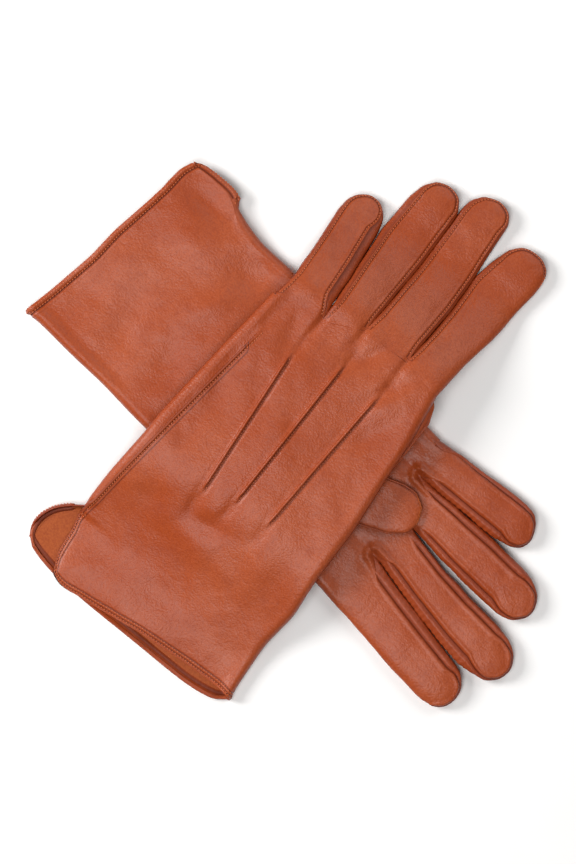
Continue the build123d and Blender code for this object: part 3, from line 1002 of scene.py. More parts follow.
    def point_shade(self, a: np.ndarray, b: np.ndarray) -> np.ndarray:
        """The dark line that lies close beside each raised line."""
        total = np.zeros_like(a)
        for line in self.points:
            path = along(line, 60, 0.0)
            d = a - np.interp(b, path[:, 1], path[:, 0])
            ends = ease(b, path[0, 1] - 1, path[0, 1] + 4) * (1 - ease(b, path[-1, 1] - 3, path[-1, 1] + 2))
            total += ends * hump(d, 1.15, 0.5)
        return total

    def point_relief(self, a: np.ndarray, b: np.ndarray) -> np.ndarray:
        """The leather beside each raised line: drawn down into a furrow on one side and pulled up on the other."""
        total = np.zeros_like(a)
        for line in self.points:
            path = along(line, 60, 0.0)
            centre = np.interp(b, path[:, 1], path[:, 0])
            ends = ease(b, path[0, 1] - 3, path[0, 1] + 5) * (1 - ease(b, path[-1, 1] - 3, path[-1, 1] + 4))
            d = a - centre
            total += ends * (-0.6 * hump(d, 1.6, 0.9) - 0.15 * hump(d, -2.0, 1.3) + 0.3 * hump(d, 0.0, 1.1))
        return total

    def palm_skin(self) -> Sheet:
        """The palm: from the fold over to the little side, round it and under the back's lapped edge.

        At the vent the part that wraps lies open, as a loop with a rolled rim.
        """
        top = self.columns(Face.PALM)
        v = self.shares()
        u = (top[:, 0] - top[0, 0]) / (top[-1, 0] - top[0, 0])
        first = self.little_edge[0][1]
        last = tuple(top[0])
        bend = along((*self.palm_bend, *((a + LITTLE_ROUND, b) for a, b in self.little_edge[1:-1]), last), 400, 1.6, v)
        rim = along((*self.palm_rim, *self.little_edge[1:-1], (last[0] - LITTLE_ROUND, last[1])), 400, 1.6, v)
        right = along((self.palm_cuff[-1], *self.index_edge[1:-1], tuple(top[-1])), 400, 2.5, v)
        bottom = along(self.palm_cuff, 400, 2.0, u)
        plan = self.patch(bend, right, bottom, top, v)
        a, b = plan[..., 0], plan[..., 1]
        high = self.outline(b)[1]
        a = np.minimum(a, high)
        a[:, -1] = high[:, -1]
        z = self.height(Face.PALM, a, b)
        main = np.stack([a, b, z], axis=-1)
        k = np.linspace(1, 0, 25)[:-1]
        wrapped = self.wrapped(bend, z[:, 0], k)
        rolled = self.rolled(bend, rim, z[:, 0], k)
        m = ease(bend[:, 1], first - 3, first + 9)[:, None, None]
        p = np.concatenate([rolled * (1 - m) + wrapped * m, main], axis=1)
        near_cuff = run_along(p[..., :2])
        near_side = seam_distance(p, False)
        vent = 1.0 - ease(bend[:, 1], first - 3, first + 5)[:, None]
        open_edge = np.minimum(near_cuff, near_side + FAR * (1 - vent))
        thick = LEATHER + 0.9 * hump(open_edge, 0.9, 1.1)
        sheet = Sheet(self.name + "_palm_skin", p, -1.0, open_edge, thick, hemmed=True)
        sheet.puff(np.where(open_edge < 12, self.rim(open_edge), 0.0))
        if not self.lay.palm_up:
            floor = self.lay.rest(sheet.outer[..., 1]) + 0.4
            sheet.outer[..., 2] = np.maximum(sheet.outer[..., 2], floor)
        sheet.edge = open_edge
        # painted shade in the furrow of stitches behind the rolled rim
        sheet.painted_shade = 0.95 * hump(open_edge, 3.4, 0.5)
        return sheet

    def wrapped(self, bend: np.ndarray, low: np.ndarray, k: np.ndarray) -> np.ndarray:
        """The side of the glove: a half round from the palm up, then over the top to just past the back's edge.

        Args:
            bend: where the palm's flat part ends, for each row.
            low: the palm's height there.
            k: the share of the way round, for each column.
        Returns:
            A grid of points.
        """
        b = bend[:, 1][:, None]
        edge = self.outline(b)[0] + 14.0 * (1.0 - ease(b, self.little_edge[0][1] - 4, self.little_edge[0][1] + 8))
        flush = ease(b, 140.0, 156.0)
        angle = np.minimum(k / SIDE_TURN, 1.0)[None] * math.pi - math.pi / 2
        beyond = np.clip((k - SIDE_TURN) / (1.0 - SIDE_TURN), 0, 1)[None]
        middle = edge + LITTLE_ROUND
        over = np.maximum(across_at(self.seam, b, 2.0) + 2.2 * (1 - flush) - middle, 0.0) * beyond
        a = np.where(k[None] > SIDE_TURN, middle + over, middle - LITTLE_ROUND * np.cos(angle))
        top = self.height(Face.BACK, np.maximum(a, middle), b + 0 * a) - 0.75 * (1 - flush)
        centre, tall = (low[:, None] + top) / 2, (top - low[:, None]) / 2
        return np.stack([a, b + 0 * a, centre + tall * np.sin(angle)], axis=-1)

    def rolled(self, bend: np.ndarray, rim: np.ndarray, low: np.ndarray, k: np.ndarray) -> np.ndarray:
        """The open vent: from the bend out to the rim in plan, curling up by a quarter circle.

        Args:
            bend: where the palm's flat part ends, for each row.
            rim: the vent's edge in plan.
            low: the palm's height at the bend.
            k: the share of the way out, for each column.
        Returns:
            A grid of points.
        """
        out = np.sin(k * math.pi / 2)[None, :, None]
        plan = bend[:, None] * (1 - out) + rim[:, None] * out
        curl = (2.2 if self.lay.palm_up else 3.4) * ease(run_along(rim), 0.0, 12.0)
        z = low[:, None] + 0.2 + curl[:, None] * (1 - np.cos(k * math.pi / 2))[None]
        return np.concatenate([plan, z[..., None]], axis=-1)


class Shader:
    """A socket that arithmetic works on: each expression adds its Math nodes."""

    def __init__(self, tree: "Tree", socket: bpy.types.NodeSocket) -> None:
        """Keeps the tree and the socket."""
        self.tree = tree
        self.socket = socket

    def _math(self, kind: str, one: "Shader | float", two: "Shader | float") -> "Shader":
        """A Math node of that kind."""
        return self.tree.node("ShaderNodeMath", {"operation": kind}, {0: one, 1: two})

    def __add__(self, other: "Shader | float") -> "Shader":
        """Sum."""
        return self._math("ADD", self, other)

    __radd__ = __add__

    def __sub__(self, other: "Shader | float") -> "Shader":
        """Difference."""
        return self._math("SUBTRACT", self, other)

    def __rsub__(self, other: float) -> "Shader":
        """Reflected difference."""
        return self._math("SUBTRACT", other, self)

    def __mul__(self, other: "Shader | float") -> "Shader":
        """Product."""
        return self._math("MULTIPLY", self, other)

    __rmul__ = __mul__

    def at_most(self, other: float) -> "Shader":
        """The smaller of the two."""
        return self._math("MINIMUM", self, other)

    def between(self, low: float, high: float) -> "Shader":
        """Goes smoothly from 0 at low to 1 at high."""
        settings = {"interpolation_type": "SMOOTHSTEP"}
        return self.tree.node("ShaderNodeMapRange", settings, {"Value": self, "From Min": low, "From Max": high})

    def bell(self, middle: float, width: float) -> "Shader":
        """A bell curve of height 1 round a value."""
        d = (self - middle) * (1.0 / width)
        return self._math("POWER", math.exp(-1), d * d)


class Tree:
    """A material's node tree, with one method for every node."""

    def __init__(self, name: str) -> None:
        """Makes the material and empties it but for its output."""
        self.material = bpy.data.materials.new(name)
        self.material.use_nodes = True
        self.tree = self.material.node_tree
        self.tree.nodes.clear()

    def node(
        self, kind: str, settings: dict | None = None, inputs: dict | None = None, output: int | str = 0
    ) -> Shader:
        """Adds a node.

        Args:
            kind: its type.
            settings: properties, set first.
            inputs: values or links by socket name or number.
            output: which output comes back.
        Returns:
            That output, ready for arithmetic.
        """
        made = self.tree.nodes.new(kind)
        for key, value in (settings or {}).items():
            setattr(made, key, value)
        for key, value in (inputs or {}).items():
            socket = made.inputs[key]
            if isinstance(value, Shader):
                self.tree.links.new(value.socket, socket)
            else:
                socket.default_value = value
        return Shader(self, made.outputs[output])

    def mix(self, factor: "Shader | float", one: "Shader | tuple", two: "Shader | tuple") -> Shader:
        """Mixes two colours."""
        pad = lambda c: c if isinstance(c, Shader) else (*c, 1.0)
        inputs = {0: factor, 6: pad(one), 7: pad(two)}
        return self.node("ShaderNodeMix", {"data_type": "RGBA"}, inputs, 2)

    def value(self, name: str) -> Shader:
        """A number kept at the mesh's points."""
        return self.node("ShaderNodeAttribute", {"attribute_name": name}, None, "Fac")

    def place(self) -> Shader:
        """Where a point was at rest, in metres, so that the grain stays on the leather when it bends."""
        return self.node("ShaderNodeAttribute", {"attribute_name": "rest_m"}, None, "Vector")

    def noise(self, at: Shader, scale: float, detail: float = 2.0, rough: float = 0.5) -> Shader:
        """Cloudy noise from 0 to 1."""
        inputs = {"Vector": at, "Scale": scale, "Detail": detail, "Roughness": rough}
        return self.node("ShaderNodeTexNoise", None, inputs)

    def cells(self, at: Shader, scale: float) -> Shader:
        """Distance to the nearest of scattered points, smoothed."""
        return self.node("ShaderNodeTexVoronoi", {"feature": "SMOOTH_F1"}, {"Vector": at, "Scale": scale})

    def bump(self, height: Shader, distance: float) -> Shader:
        """A Bump node at full strength."""
        return self.node("ShaderNodeBump", None, {"Height": height, "Distance": distance, "Strength": 1.0})

    def finish(self, **inputs: "Shader | float | tuple") -> bpy.types.Material:
        """Ends in a Principled shader; an underscore in a name stands for a space."""
        named = {key.replace("_", " "): value for key, value in inputs.items()}
        shader = self.node("ShaderNodeBsdfPrincipled", None, named)
        end = self.tree.nodes.new("ShaderNodeOutputMaterial")
        self.tree.links.new(shader.socket, end.inputs["Surface"])
        return self.material


@dataclass(frozen=True)
class LeatherFinish:
    """Smooth tan glove leather: grain, colour that drifts, painted shade where it turns sideways and in its furrows,
    suede inside.
    """

    name: str
    deep: tuple[float, float, float]
    tan: tuple[float, float, float]
    bright: tuple[float, float, float]
    suede: tuple[float, float, float]
    # the colour of the dark stitch lines and of the painted shade
    dark: tuple[float, float, float] = (0.085, 0.009, 0.002)
    roughness: float = 0.33
    relief: float = 0.0003  # depth of the grain, in metres

    def build(self) -> bpy.types.Material:
        """Makes the material."""
        t = Tree(self.name)
        at = t.place()
        edge, inside, sewn = t.value("edge_mm"), t.value("inside"), t.value("sewn")
        painted_shade, side_shade = t.value("painted_shade"), t.value("side_shade")
        broad = t.noise(at, 22.0, 3.0, 0.55)
        cloud = t.noise(at, 90.0, 3.0, 0.6)
        fleck = t.noise(at, 800.0, 2.0, 0.6)
        tone = t.mix(broad.between(0.36, 0.64), self.tan, self.bright)
        tone = t.mix(cloud.between(0.45, 0.75) * 0.25, tone, self.deep)
        tone = t.mix(fleck.between(0.42, 0.75) * 0.2, tone, self.deep)
        # painted shade where the surface faces sideways
        tone = t.mix(side_shade.between(0.25, 1.0) * 0.75, tone, self.deep)
        lines = edge.bell(1.4, 0.36) * sewn.between(0.0, 1.0) + edge.bell(3.2, 0.36) * sewn.between(1.0, 2.0)
        # dark stitch lines, plus painted shade in furrows, beside the points and under lapped edges
        tone = t.mix((lines * 0.8 + painted_shade * 0.85).at_most(1.0), tone, self.dark)
        pebble = t.cells(at, 1250.0)
        wander = t.noise(at, 300.0, 2.0, 0.5)
        pore = t.noise(at, 2400.0, 2.0, 0.6)
        tone = t.mix(pebble.between(0.3, 0.65) * 0.22, tone, self.deep)
        lining = t.mix(t.noise(at, 900.0, 4.0, 0.7).between(0.3, 0.7) * 0.5, self.suede, self.deep)
        within = inside.between(0.4, 0.6)
        colour = t.mix(within, tone, lining)
        height = 0.55 * wander + 0.42 * (1.0 - pebble) + 0.16 * pore
        grain = t.bump(height, self.relief)
        gloss = self.roughness + 0.14 * cloud + 0.3 * painted_shade + 0.35 * within
        return t.finish(Base_Color=colour, Roughness=gloss, Normal=grain, Specular_IOR_Level=0.36)


@dataclass(frozen=True)
class ThreadFinish:
    """Polished sewing thread, a little lighter than the leather."""

    name: str
    colour: tuple[float, float, float]
    shadow: tuple[float, float, float]

    def build(self) -> bpy.types.Material:
        """Makes the material: a fine twist along the thread."""
        t = Tree(self.name)
        at = t.place()
        twist = t.noise(at, 3200.0, 2.0, 0.6)
        colour = t.mix(twist.between(0.3, 0.7) * 0.6, self.colour, self.shadow)
        return t.finish(Base_Color=colour, Roughness=0.55, Normal=t.bump(twist, 0.00008))


@dataclass(frozen=True)
class FloorFinish:
    """Plain pale paper."""

    name: str = "pale_floor"

    def build(self) -> bpy.types.Material:
        """Makes the material."""
        t = Tree(self.name)
        at = t.node("ShaderNodeTexCoord", None, None, "Object")
        return t.finish(Base_Color=t.mix(t.noise(at, 40.0), (0.93, 0.93, 0.925), (0.95, 0.95, 0.95)), Roughness=0.9)


LEATHER_TAN = LeatherFinish(
    "glove_leather", (0.20, 0.020, 0.0025), (0.34, 0.054, 0.009), (0.385, 0.074, 0.020), (0.36, 0.075, 0.012)
)
# a darker copy of the glove leather for the strips between the fingers: painted shade where they sit down in the gaps
LEATHER_SIDE = LeatherFinish(
    "fourchette_leather", (0.15, 0.015, 0.002), (0.30, 0.045, 0.008), (0.34, 0.058, 0.014), (0.36, 0.075, 0.012)
)
THREAD = ThreadFinish("tan_thread", (0.56, 0.14, 0.045), (0.36, 0.065, 0.016))


LEFT_STALLS = [
    Stall(
        "left_little",
        left=((-46.9, 166), (-45, 176), (-43.9, 183), (-45.5, 203.2), (-47.1, 221)),
        tip=((-47, 226), (-44.6, 231.2), (-39.5, 234.6), (-34.4, 235), (-30, 232.8), (-27.2, 228.6)),
        right=((-25.3, 221), (-22.85, 203), (-20.7, 181), (-20.2, 175), (-20.2, 166)),
        body="left_little_finger", hinge=185, back_inset=(1, 4), seed=31, rows=60,
    ),
    Stall(
        "left_ring",
        left=((-20.2, 166), (-20.2, 175), (-20.6, 181), (-22.75, 203), (-25, 226), (-24.2, 247)),
        tip=((-22.6, 253.7), (-18.2, 259.4), (-12.4, 261.4), (-5.4, 259.8), (-1.2, 254.6)),
        right=((-0.3, 247), (0.55, 225), (-0.15, 200), (-0.9, 184), (-0.9, 166)),
        body="left_ring_finger", hinge=192, back_inset=(2.4, 1), seed=33, rows=84,
    ),
    Stall(
        "left_middle",
        left=((-0.9, 166), (-0.9, 184), (-0.1, 200), (0.6, 225), (-0.2, 248), (-0.6, 257)),
        tip=((0.2, 262.8), (4.5, 268.8), (11.2, 270.7), (18, 269.2), (21.4, 265)),
        right=((22.1, 257), (23, 247), (24.4, 235), (25.5, 215), (24.2, 190), (23.8, 184), (23.9, 166)),
        body="left_middle_finger", hinge=192, back_inset=(1, 1), seed=35,
    ),
    Stall(
        "left_index",
        left=((23.9, 166), (23.8, 184), (24.35, 190), (25.6, 215), (24.5, 235), (26.5, 246)),
        tip=((29.4, 255.4), (34, 260.2), (39.2, 261.6), (44.9, 261.4), (49.3, 259), (51.6, 254)),
        right=((52, 246), (50.9, 235.3), (49.1, 213.4), (45.6, 190), (44.8, 178), (45.4, 166)),
        body="left_index_finger", hinge=192, back_inset=(1, 1), folded=True, seed=37, rows=80,
    ),
]

RIGHT_STALLS = [
    Stall(
        "right_little",
        left=((-46.9, 172), (-47.3, 180), (-51.4, 205.2), (-54.7, 223), (-55.6, 230)),
        tip=((-55.4, 236), (-52.4, 240.6), (-45.6, 244), (-39.8, 243), (-36, 239)),
        right=((-33.1, 230), (-30.75, 210), (-28.4, 188), (-28.2, 184), (-28.2, 172)),
        body="right_little_finger", hinge=195, palm_inset=(1.2, 4), rippled=Side.INDEX, seed=51, rows=60,
    ),
    Stall(
        "right_ring",
        left=((-28.2, 172), (-28.2, 184), (-28.4, 188), (-30.8, 210), (-33, 233.7), (-33.5, 250)),
        tip=((-33, 258), (-29.6, 265.4), (-24, 269), (-19, 269.4), (-12.8, 266.2), (-9.4, 259)),
        right=((-8.6, 250), (-7.8, 225), (-8.4, 203), (-8.8, 197), (-8.8, 172)),
        body="right_ring_finger", hinge=204, palm_inset=(3.2, 3.2), seed=53, rows=80,
    ),
    Stall(
        "right_middle",
        left=((-8.8, 172), (-8.8, 197), (-8, 203), (-5.8, 225), (-5.5, 245), (-5.8, 262)),
        tip=((-4.9, 271), (-1.8, 278), (4.6, 282.2), (11.4, 281.6), (16.9, 277.8), (19.4, 270)),
        right=((20.9, 262), (20.4, 249), (17.85, 225), (14.85, 203), (13.9, 196), (13.9, 172)),
        body="right_middle_finger", hinge=208, palm_inset=(2.6, 4.4), rippled=Side.INDEX, seed=55,
    ),
    Stall(
        "right_index",
        left=((13.9, 172), (13.9, 196), (14.75, 203), (17.7, 225), (20.3, 248), (21.4, 259)),
        tip=((22.8, 266.6), (27.4, 272), (33.6, 273.9), (39.6, 273), (43.6, 269.4), (45.6, 264)),
        right=((45.9, 259), (45.6, 245), (45, 230.3), (44, 207.6), (43.4, 190), (43.9, 172)),
        body="right_index_finger", hinge=208, palm_inset=(3.6, 1.5), folded=True, seed=57, rows=84,
    ),
]

LEFT_POINTS = (
    ((-14.9, 72.4), (-18.4, 110), (-22.2, 150.5)), ((0.7, 78.7), (0.9, 120), (0.8, 161.3)),
    ((19.4, 78.5), (21, 120), (22.9, 160.3)),
)

LEFT_HAND = Hand(
    "left",
    LEFT_LAY,
    little_edge=((-55.4, 30), (-55.4, 53.2), (-53.7, 79.4), (-53.8, 90), (-50, 137), (-45.6, 184)),
    index_edge=(
        (57.9, 1), (57.1, 6), (56.2, 16.3), (54.9, 33.9), (56.9, 53.3), (54.5, 72.7), (54, 102.5),
        (50.8, 132.7), (49, 155), (44.9, 180),
    ),
    seam=((-54.4, 31), (-53, 38), (-51.4, 55), (-47.3, 92), (-42, 137.4), (-40.4, 150), (-42, 160), (-45.2, 168)),
    back_vent=((-46.4, -1.9), (-48.7, 1.3), (-51.2, 7), (-52.1, 13.9), (-52.7, 21), (-54.6, 26.8)),
    back_cuff=(
        (-46.4, -1.9), (-43.1, -3.9), (-38.4, -4.7), (-32.9, -3.9), (-17.9, -2.1), (4.5, 1), (28, 2.8),
        (50.2, 3.8), (57.4, 2.6),
    ),
    palm_rim=(
        (-66.6, 4.4), (-68.9, 8.2), (-69.5, 12.2), (-68.6, 17.5), (-66.2, 22.7), (-62.5, 27), (-58.8, 30),
        (-55.6, 35),
    ),
    palm_bend=(
        (-62.9, 1.3), (-64.8, 6.5), (-65.6, 12.3), (-64.8, 17), (-62.8, 20.8), (-59.4, 24.8), (-55.8, 28.5),
        (-52.6, 33),
    ),
    palm_cuff=(
        (-62.9, 1.3), (-58, -0.4), (-52.5, -1.6), (-47, -2.6), (-25.6, -3.9), (-3.8, -4.1), (21.6, -4.6),
        (34.1, -4.7), (42.9, -4), (51.1, -2.5), (57.4, 2),
    ),
    knuckles=((-45.2, 168), (-20.2, 172), (-0.9, 181), (23.9, 181.5), (44.9, 178)),
    points=LEFT_POINTS,
    stalls=LEFT_STALLS,
    folds=(
        ((-2, 62), (11, 5), 10, 1.3), ((-32, 58), (9, 6), 30, 0.8), ((6, 50), (22, 6), -8, -0.7),
        ((26, 166), (16, 4), 62, 0.9), ((34, 150), (5, 18), -20, 0.6), ((8, 172), (3.5, 12), -30, 0.9),
        ((-28, 160), (4, 14), 12, 0.7), ((-38, 110), (5, 30), 6, 0.6), ((40, 60), (6, 26), 0, 0.6),
    ),
    seed=11,
)

RIGHT_HAND = Hand(
    "right",
    RIGHT_LAY,
    little_edge=((-55.4, 29), (-52, 37.9), (-50.4, 51.1), (-51.3, 64.2), (-52, 72), (-47.2, 167), (-47.4, 182)),
    index_edge=(
        (54.3, -3), (53.4, 6.5), (52.9, 27.3), (51.7, 47.3), (51.8, 70.2), (51.4, 80), (43.6, 184), (43.4, 192),
    ),
    seam=((-54, 30), (-50.4, 40), (-48.4, 55), (-47, 92), (-44, 137.4), (-43, 150), (-44, 165), (-45.8, 178)),
    back_vent=((-46.4, -0.4), (-49.2, 2.4), (-51, 8), (-51.8, 15), (-52.6, 24)),
    back_cuff=((-46.4, -0.4), (-42, -1.4), (-30, -0.6), (-3, -1), (12.7, -0.4), (38.4, -1.4), (53.8, -2.4)),
    palm_rim=((-54.8, 2.6), (-56.6, 6), (-57.7, 14.9), (-58.5, 23), (-57.9, 27.6), (-54.6, 33)),
    palm_bend=((-52.4, 0.3), (-53.8, 5), (-54.6, 14.9), (-55, 22), (-53.6, 27.5), (-50.2, 33.5)),
    palm_cuff=(
        (-52.4, 0.3), (-46.2, -1.5), (-34.4, -0.6), (-21.3, -0.9), (-3.2, -1.8), (12.7, -0.8), (38.4, -2.2),
        (53.8, -3.6),
    ),
    knuckles=((-45.8, 178), (-28.2, 183.5), (-8.8, 197), (13.9, 196), (43.5, 190)),
    points=LEFT_POINTS,
    stalls=RIGHT_STALLS,
    folds=(
        ((-35, 62), (13, 14), 0, 2.2), ((-12, 56), (16, 6), -20, -1), ((-46, 24), (6, 12), 10, 1.4),
        ((24, 34), (22, 9), 24, 1.2), ((20, 62), (12, 8), 30, 0.8), ((-26, 30), (10, 16), 0, -0.6),
    ),
    loops=(0, 2),
    seed=23,
)

LEFT_THUMB = Stall(
    "left_thumb",
    left=((-13, 4), (-13, 30), (-12.6, 62)),
    tip=((-11, 69), (-5, 74), (3, 74.4), (9, 71)),
    right=((12.2, 62), (13.2, 45), (13, 30), (13, 4)),
    body="left_thumb_stall", hinge=0, bound=False, half=1.75, seed=71, rows=50,
)


@dataclass
class Glove:
    """One glove: its hand and four fingers, with the stitching on each."""

    hand: Hand
    leather: bpy.types.Material
    side_leather: bpy.types.Material
    thread: bpy.types.Material

    def build(self) -> None:
        """Makes every piece; the hand's pieces are joined to the hand's body."""
        hand = self.hand
        skins = {face: [s.skin(face, hand.lay, hand) for s in hand.stalls] for face in Face}
        back, palm = hand.back_skin(), hand.palm_skin()
        back.meet(skins[Face.BACK])
        palm.meet(skins[Face.PALM])
        self.build_hand(back, palm)
        for i, stall in enumerate(hand.stalls):
            self.build_finger(stall, skins[Face.BACK][i], skins[Face.PALM][i])

    def attach(
        self,
        piece: bpy.types.Object,
        stall: Stall | None,
        nodes: tuple[str, ...] = (),
    ) -> None:
        """Rides a piece on the hand, or leaves a finger's piece where it is with its place baked in, and hides the
        nodes it stands for.
        """
        lay, name = self.hand.lay, self.hand.name
        if stall is None:
            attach(piece, f"{name}_hand")
        else:
            number = self.hand.stalls.index(stall)
            line = max(self.hand.knuckles[number + k][1] for k in (0, 1))
            start = max(stall.hinge - 9.0, line + 0.5)
            end = 2 * stall.hinge - start
            middle = (stall.left[0][0] + stall.right[-1][0]) / 2
            marks = lay.place(np.array([[middle, start, 0.0], [middle, end, 0.0]]))
            marks[:, 2] = 0.01
            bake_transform(piece)
        if nodes:
            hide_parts(*nodes)
        LOG.info("%s: %d faces", piece.name, len(piece.data.polygons))

    def build_hand(self, back: Sheet, palm: Sheet) -> None:
        """The two skins, the points and the hem's stitches."""
        hand, name = self.hand, self.hand.name
        self.attach(back.build(hand.lay, self.leather), None, (f"{name}_back_panel", f"{name}_cuff_binding"))
        self.attach(palm.build(hand.lay, self.leather), None, (f"{name}_palm_panel", f"{name}_side_seam"))
        rows = Stitching(f"{name}_hem_stitches")
        for sheet in (back, palm):
            self.hem_lines(sheet, rows)
        self.seam_line(back, rows)
        self.attach(rows.build(hand.lay, self.thread), None, ())
        self.build_points(back)

    def hem_lines(self, sheet: Sheet, rows: Stitching) -> None:
        """Two lines of stitches round the hem: along the cuff, and up the vent."""
        vent_end = self.hand.seam[0][1]
        for distance in HEM_ROWS:
            turned = Sheet("turned", np.swapaxes(sheet.outer, 0, 1), -sheet.sign, sheet.edge.T)
            p, n = turned.row_at(distance, False)
            q, m = sheet.row_at(distance, False)
            keep = (q[:, 1] > p[0, 1] + distance) & (q[:, 1] < vent_end)
            keep_cuff = p[:, 0] > q[keep][0, 0] if keep.any() else np.ones(len(p), bool)
            rows.follow(p[keep_cuff], n[keep_cuff])
            if keep.any():
                rows.follow(q[keep], m[keep])

    def seam_line(self, back: Sheet, rows: Stitching) -> None:
        """The line of stitches along the lapped side seam."""
        p, n = back.row_at(SEAM_ROW, False)
        keep = (p[:, 1] > self.hand.seam[0][1]) & (p[:, 1] < SEAM_END)
        rows.follow(p[keep], n[keep])

    def build_points(self, back: Sheet) -> None:
        """Three raised lines: a narrow tuck of leather standing along each, pointed at its ends, with its stitches."""
        hand, name = self.hand, self.hand.name
        threads = Stitching(f"{name}_point_stitches", width=0.36)
        pieces = []
        for line in hand.points:
            path = along(line, 120, 6.0)
            z = hand.height(Face.BACK, path[:, 0], path[:, 1]) + hand.point_relief(path[:, 0], path[:, 1])
            centre = np.concatenate([path, z[:, None]], axis=1)
            pieces.append(self.tuck(centre))
            side = centre + np.array([1.25, 0.0, 0.0])
            a, b = side[:, 0], side[:, 1]
            side[:, 2] = hand.height(Face.BACK, a, b) + hand.point_relief(a, b) + 0.1
            up = np.tile([0.5, 0.0, 0.85], (len(side), 1))
            threads.follow(side[2:-2], up[2:-2])
        points = np.concatenate([p for p, _ in pieces])
        start = np.cumsum([0] + [len(p) for p, _ in pieces[:-1]])
        faces = np.concatenate([f + s for (_, f), s in zip(pieces, start)])
        values = {"edge_mm": np.full(len(points), 3.0), "inside": np.zeros(len(points))}
        tucks = make_mesh(f"{name}_points", hand.lay, points, None, faces, values, self.leather)
        self.attach(tucks, None, (f"{name}_back_points",))
        self.attach(threads.build(hand.lay, self.thread), None)

    def tuck(self, centre: np.ndarray) -> tuple[np.ndarray, np.ndarray]:
        """A tube of rounded section along a path: 0.75 mm wide either side, 0.95 mm high, tapering to nothing."""
        count, round_ = len(centre), 14
        turn = np.arange(round_) * 2 * math.pi / round_
        s = np.linspace(0, 1, count)
        size = np.minimum(ease(s, 0.0, 0.09), 1.0 - ease(s, 0.93, 1.0))[:, None] * 0.98 + 0.02
        way = unit(np.gradient(centre, axis=0))
        side = unit(np.cross(way, [0.0, 0.0, 1.0]))
        up = np.cross(side, way)
        x = (0.72 * np.cos(turn) + 0.12 * np.sin(turn))[None] * size
        z = (0.95 * np.sin(turn))[None] * size - 0.25 * (1 - size)
        p = centre[:, None] + side[:, None] * x[..., None] + up[:, None] * z[..., None]
        number = np.arange(count * round_).reshape(count, round_)
        nxt = np.roll(number, -1, axis=1)
        quads = np.stack([number[:-1], nxt[:-1], nxt[1:], number[1:]], axis=-1).reshape(-1, 4)
        caps = []
        for ring in (number[0], number[-1]):
            caps += [[ring[0], ring[k], ring[k + 1], ring[k + 2]] for k in range(1, round_ - 2, 2)]
        return p.reshape(-1, 3), np.concatenate([quads, caps])

    def build_finger(self, stall: Stall, back: Sheet, palm: Sheet) -> None:
        """Back, palm and side strips of one finger, and the stitches round its back."""
        hand, name = self.hand, self.hand.name
        finger = stall.name.split("_")[1]
        self.attach(back.build(hand.lay, self.leather), stall, (f"{name}_{finger}_back",))
        self.attach(palm.build(hand.lay, self.leather), stall, (f"{name}_{finger}_palm",))
        for side in Side:
            if stall.folded and side is Side.INDEX:
                continue
            strip = stall.wall(side, hand.lay)
            node = f"{name}_{finger}_fourchette_{'index' if side is Side.INDEX else 'little'}_side"
            if finger == "little" and side is Side.LITTLE:
                node = f"{name}_{finger}_side_seam"
            self.attach(strip.build(hand.lay, self.side_leather), stall, (node,))
        rows = Stitching(f"{name}_{finger}_stitches")
        first = int(stall.rows * 0.06)
        left = back.row_at(FINGER_ROW, False, first)
        right = back.row_at(FINGER_ROW, True, stall.rows + 3 if stall.folded else first)
        rows.follow(np.concatenate([left[0], right[0][::-1]]), np.concatenate([left[1], right[1][::-1]]))
        self.attach(rows.build(hand.lay, self.thread), stall)


def thumb_of(name: str, base: tuple[float, float], tip: tuple[float, float], level: float, outline: Stall) -> Stall:
    """A thumb's stall: the outline carried to its base and turned along its length.

    Args:
        name: its name.
        base: where it leaves the palm, in plan.
        tip: its far end.
        level: how far its middle lies above the middle of a lying glove.
        outline: the thumb whose outline it takes.
    Returns:
        The stall.
    """
    turn = math.degrees(math.atan2(base[0] - tip[0], tip[1] - base[1]))
    more = math.hypot(tip[0] - base[0], tip[1] - base[1]) - THUMB_LENGTH
    move = lambda pts: tuple((a + base[0], b + base[1] + (more if b > 35 else 0.0)) for a, b in pts)
    return Stall(
        name, move(outline.left), move(outline.tip), move(outline.right), f"{name}_stall", base[1],
        bound=False, palm_inset=(0.35, 0.35), back_inset=(0.35, 0.35), half=outline.half,
        seed=outline.seed + len(name), rows=outline.rows, turn=turn, pivot=base, level=level,
    )


def light(
    name: str, at: tuple[float, float, float], size: float, watts: float, colour: tuple[float, float, float]
) -> None:
    """A square soft light that faces the gloves.

    Args:
        name: its name.
        at: its place, in metres.
        size: its side, in metres.
        watts: its power.
        colour: its colour.
    """
    data = bpy.data.lights.new(name, "AREA")
    data.size, data.energy, data.color = size, watts, colour
    lamp = bpy.data.objects.new(name, data)
    lamp.location = at
    lamp.rotation_euler = (-Vector(at)).to_track_quat("-Z", "Y").to_euler()
    bpy.context.scene.collection.objects.link(lamp)


LIGHTS = (  # name, place in metres to the view's right, up it and above the floor, size, watts, colour
    ("key", (-1.0, 0.3, 0.8), 0.55, 14.5, (1.0, 0.985, 0.97)),
    ("fill", (0.8, 0.9, 1.1), 1.0, 8.0, (1.0, 0.99, 0.98)),
    ("over", (-0.25, -0.35, 1.35), 0.6, 9.5, (1.0, 0.99, 0.98)),
)


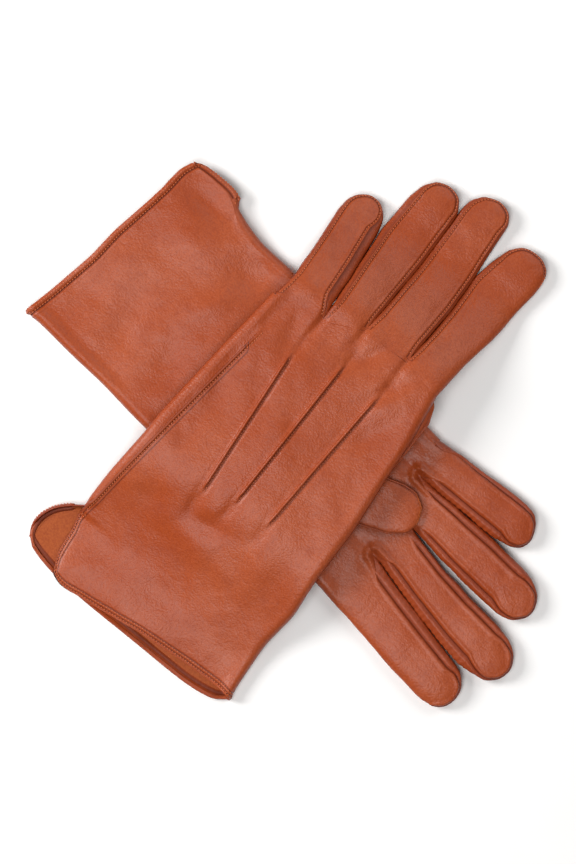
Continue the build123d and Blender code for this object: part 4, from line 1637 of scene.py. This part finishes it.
def stage() -> None:
    """The pale floor, the soft lights and the camera that looks straight down."""
    mesh = bpy.data.meshes.new("floor")
    mesh.from_pydata([(-6, -6, -0.0005), (6, -6, -0.0005), (6, 6, -0.0005), (-6, 6, -0.0005)], [], [(0, 1, 2, 3)])
    mesh.materials.append(FloorFinish().build())
    floor = bpy.data.objects.new("floor", mesh)
    bpy.context.scene.collection.objects.link(floor)
    up, right = Vector(VIEW_UP), Vector(VIEW_RIGHT)
    for name, (across, along_, height), size, watts, colour in LIGHTS:
        light(name, tuple(right * across + up * along_ + Vector((0, 0, height))), size, watts, colour)
    bpy.context.scene.view_settings.view_transform = "Standard"
    world = bpy.data.worlds.new("studio")
    world.use_nodes = True
    world.node_tree.nodes["Background"].inputs["Color"].default_value = (1.0, 1.0, 1.0, 1.0)
    world.node_tree.nodes["Background"].inputs["Strength"].default_value = 0.12
    bpy.context.scene.world = world
    data = bpy.data.cameras.new("camera")
    camera = bpy.data.objects.new("camera", data)
    data.lens = SENSOR * (CAMERA_HEIGHT - SUBJECT_HEIGHT) / VIEW_LENGTH
    data.clip_start, data.clip_end = 0.1, 20.0
    camera.location = (*VIEW_CENTRE, CAMERA_HEIGHT)
    camera.rotation_mode = "QUATERNION"
    camera.rotation_quaternion = camera_turn(up)
    bpy.context.scene.collection.objects.link(camera)
    bpy.context.scene.camera = camera


def camera_turn(up: Vector) -> Quaternion:
    """The turn of a camera that looks straight down with that direction up in its frame."""
    right = up.cross(Vector((0, 0, 1)))
    return Matrix((right, up, Vector((0, 0, 1)))).transposed().to_quaternion()


def main() -> None:
    """Builds both gloves, their thumbs and the stage."""
    logging.basicConfig(level=logging.INFO)
    leather, side, thread = LEATHER_TAN.build(), LEATHER_SIDE.build(), THREAD.build()
    for hand in (RIGHT_HAND, LEFT_HAND):
        glove = Glove(hand, leather, side, thread)
        glove.build()
    thumbs = (
        (thumb_of("right_thumb", (24.0, 120.0), (-14.0, 199.3), -6.2, LEFT_THUMB), RIGHT_LAY, "right"),
        (thumb_of("left_thumb", (36.0, 104.0), (38.5, 178.0), -6.45 + 3.9, LEFT_THUMB), LEFT_LAY, "left"),
    )
    for thumb, lay, name in thumbs:
        for sheet, node in (
            (thumb.skin(Face.BACK, lay, None), "outer"),
            (thumb.skin(Face.PALM, lay, None), "inner"),
            (thumb.wall(Side.LITTLE, lay), "seam"),
            (thumb.wall(Side.INDEX, lay), "seam"),
        ):
            piece = sheet.build(lay, leather)
            "seam_leather" if node == "seam" else "glove_leather"
            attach(piece, f"{name}_thumb_stall")
            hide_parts(f"{name}_thumb_{node}")
            LOG.info("%s: %d faces", piece.name, len(piece.data.polygons))
    stage()
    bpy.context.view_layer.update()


if __name__ == "__main__":
    main()
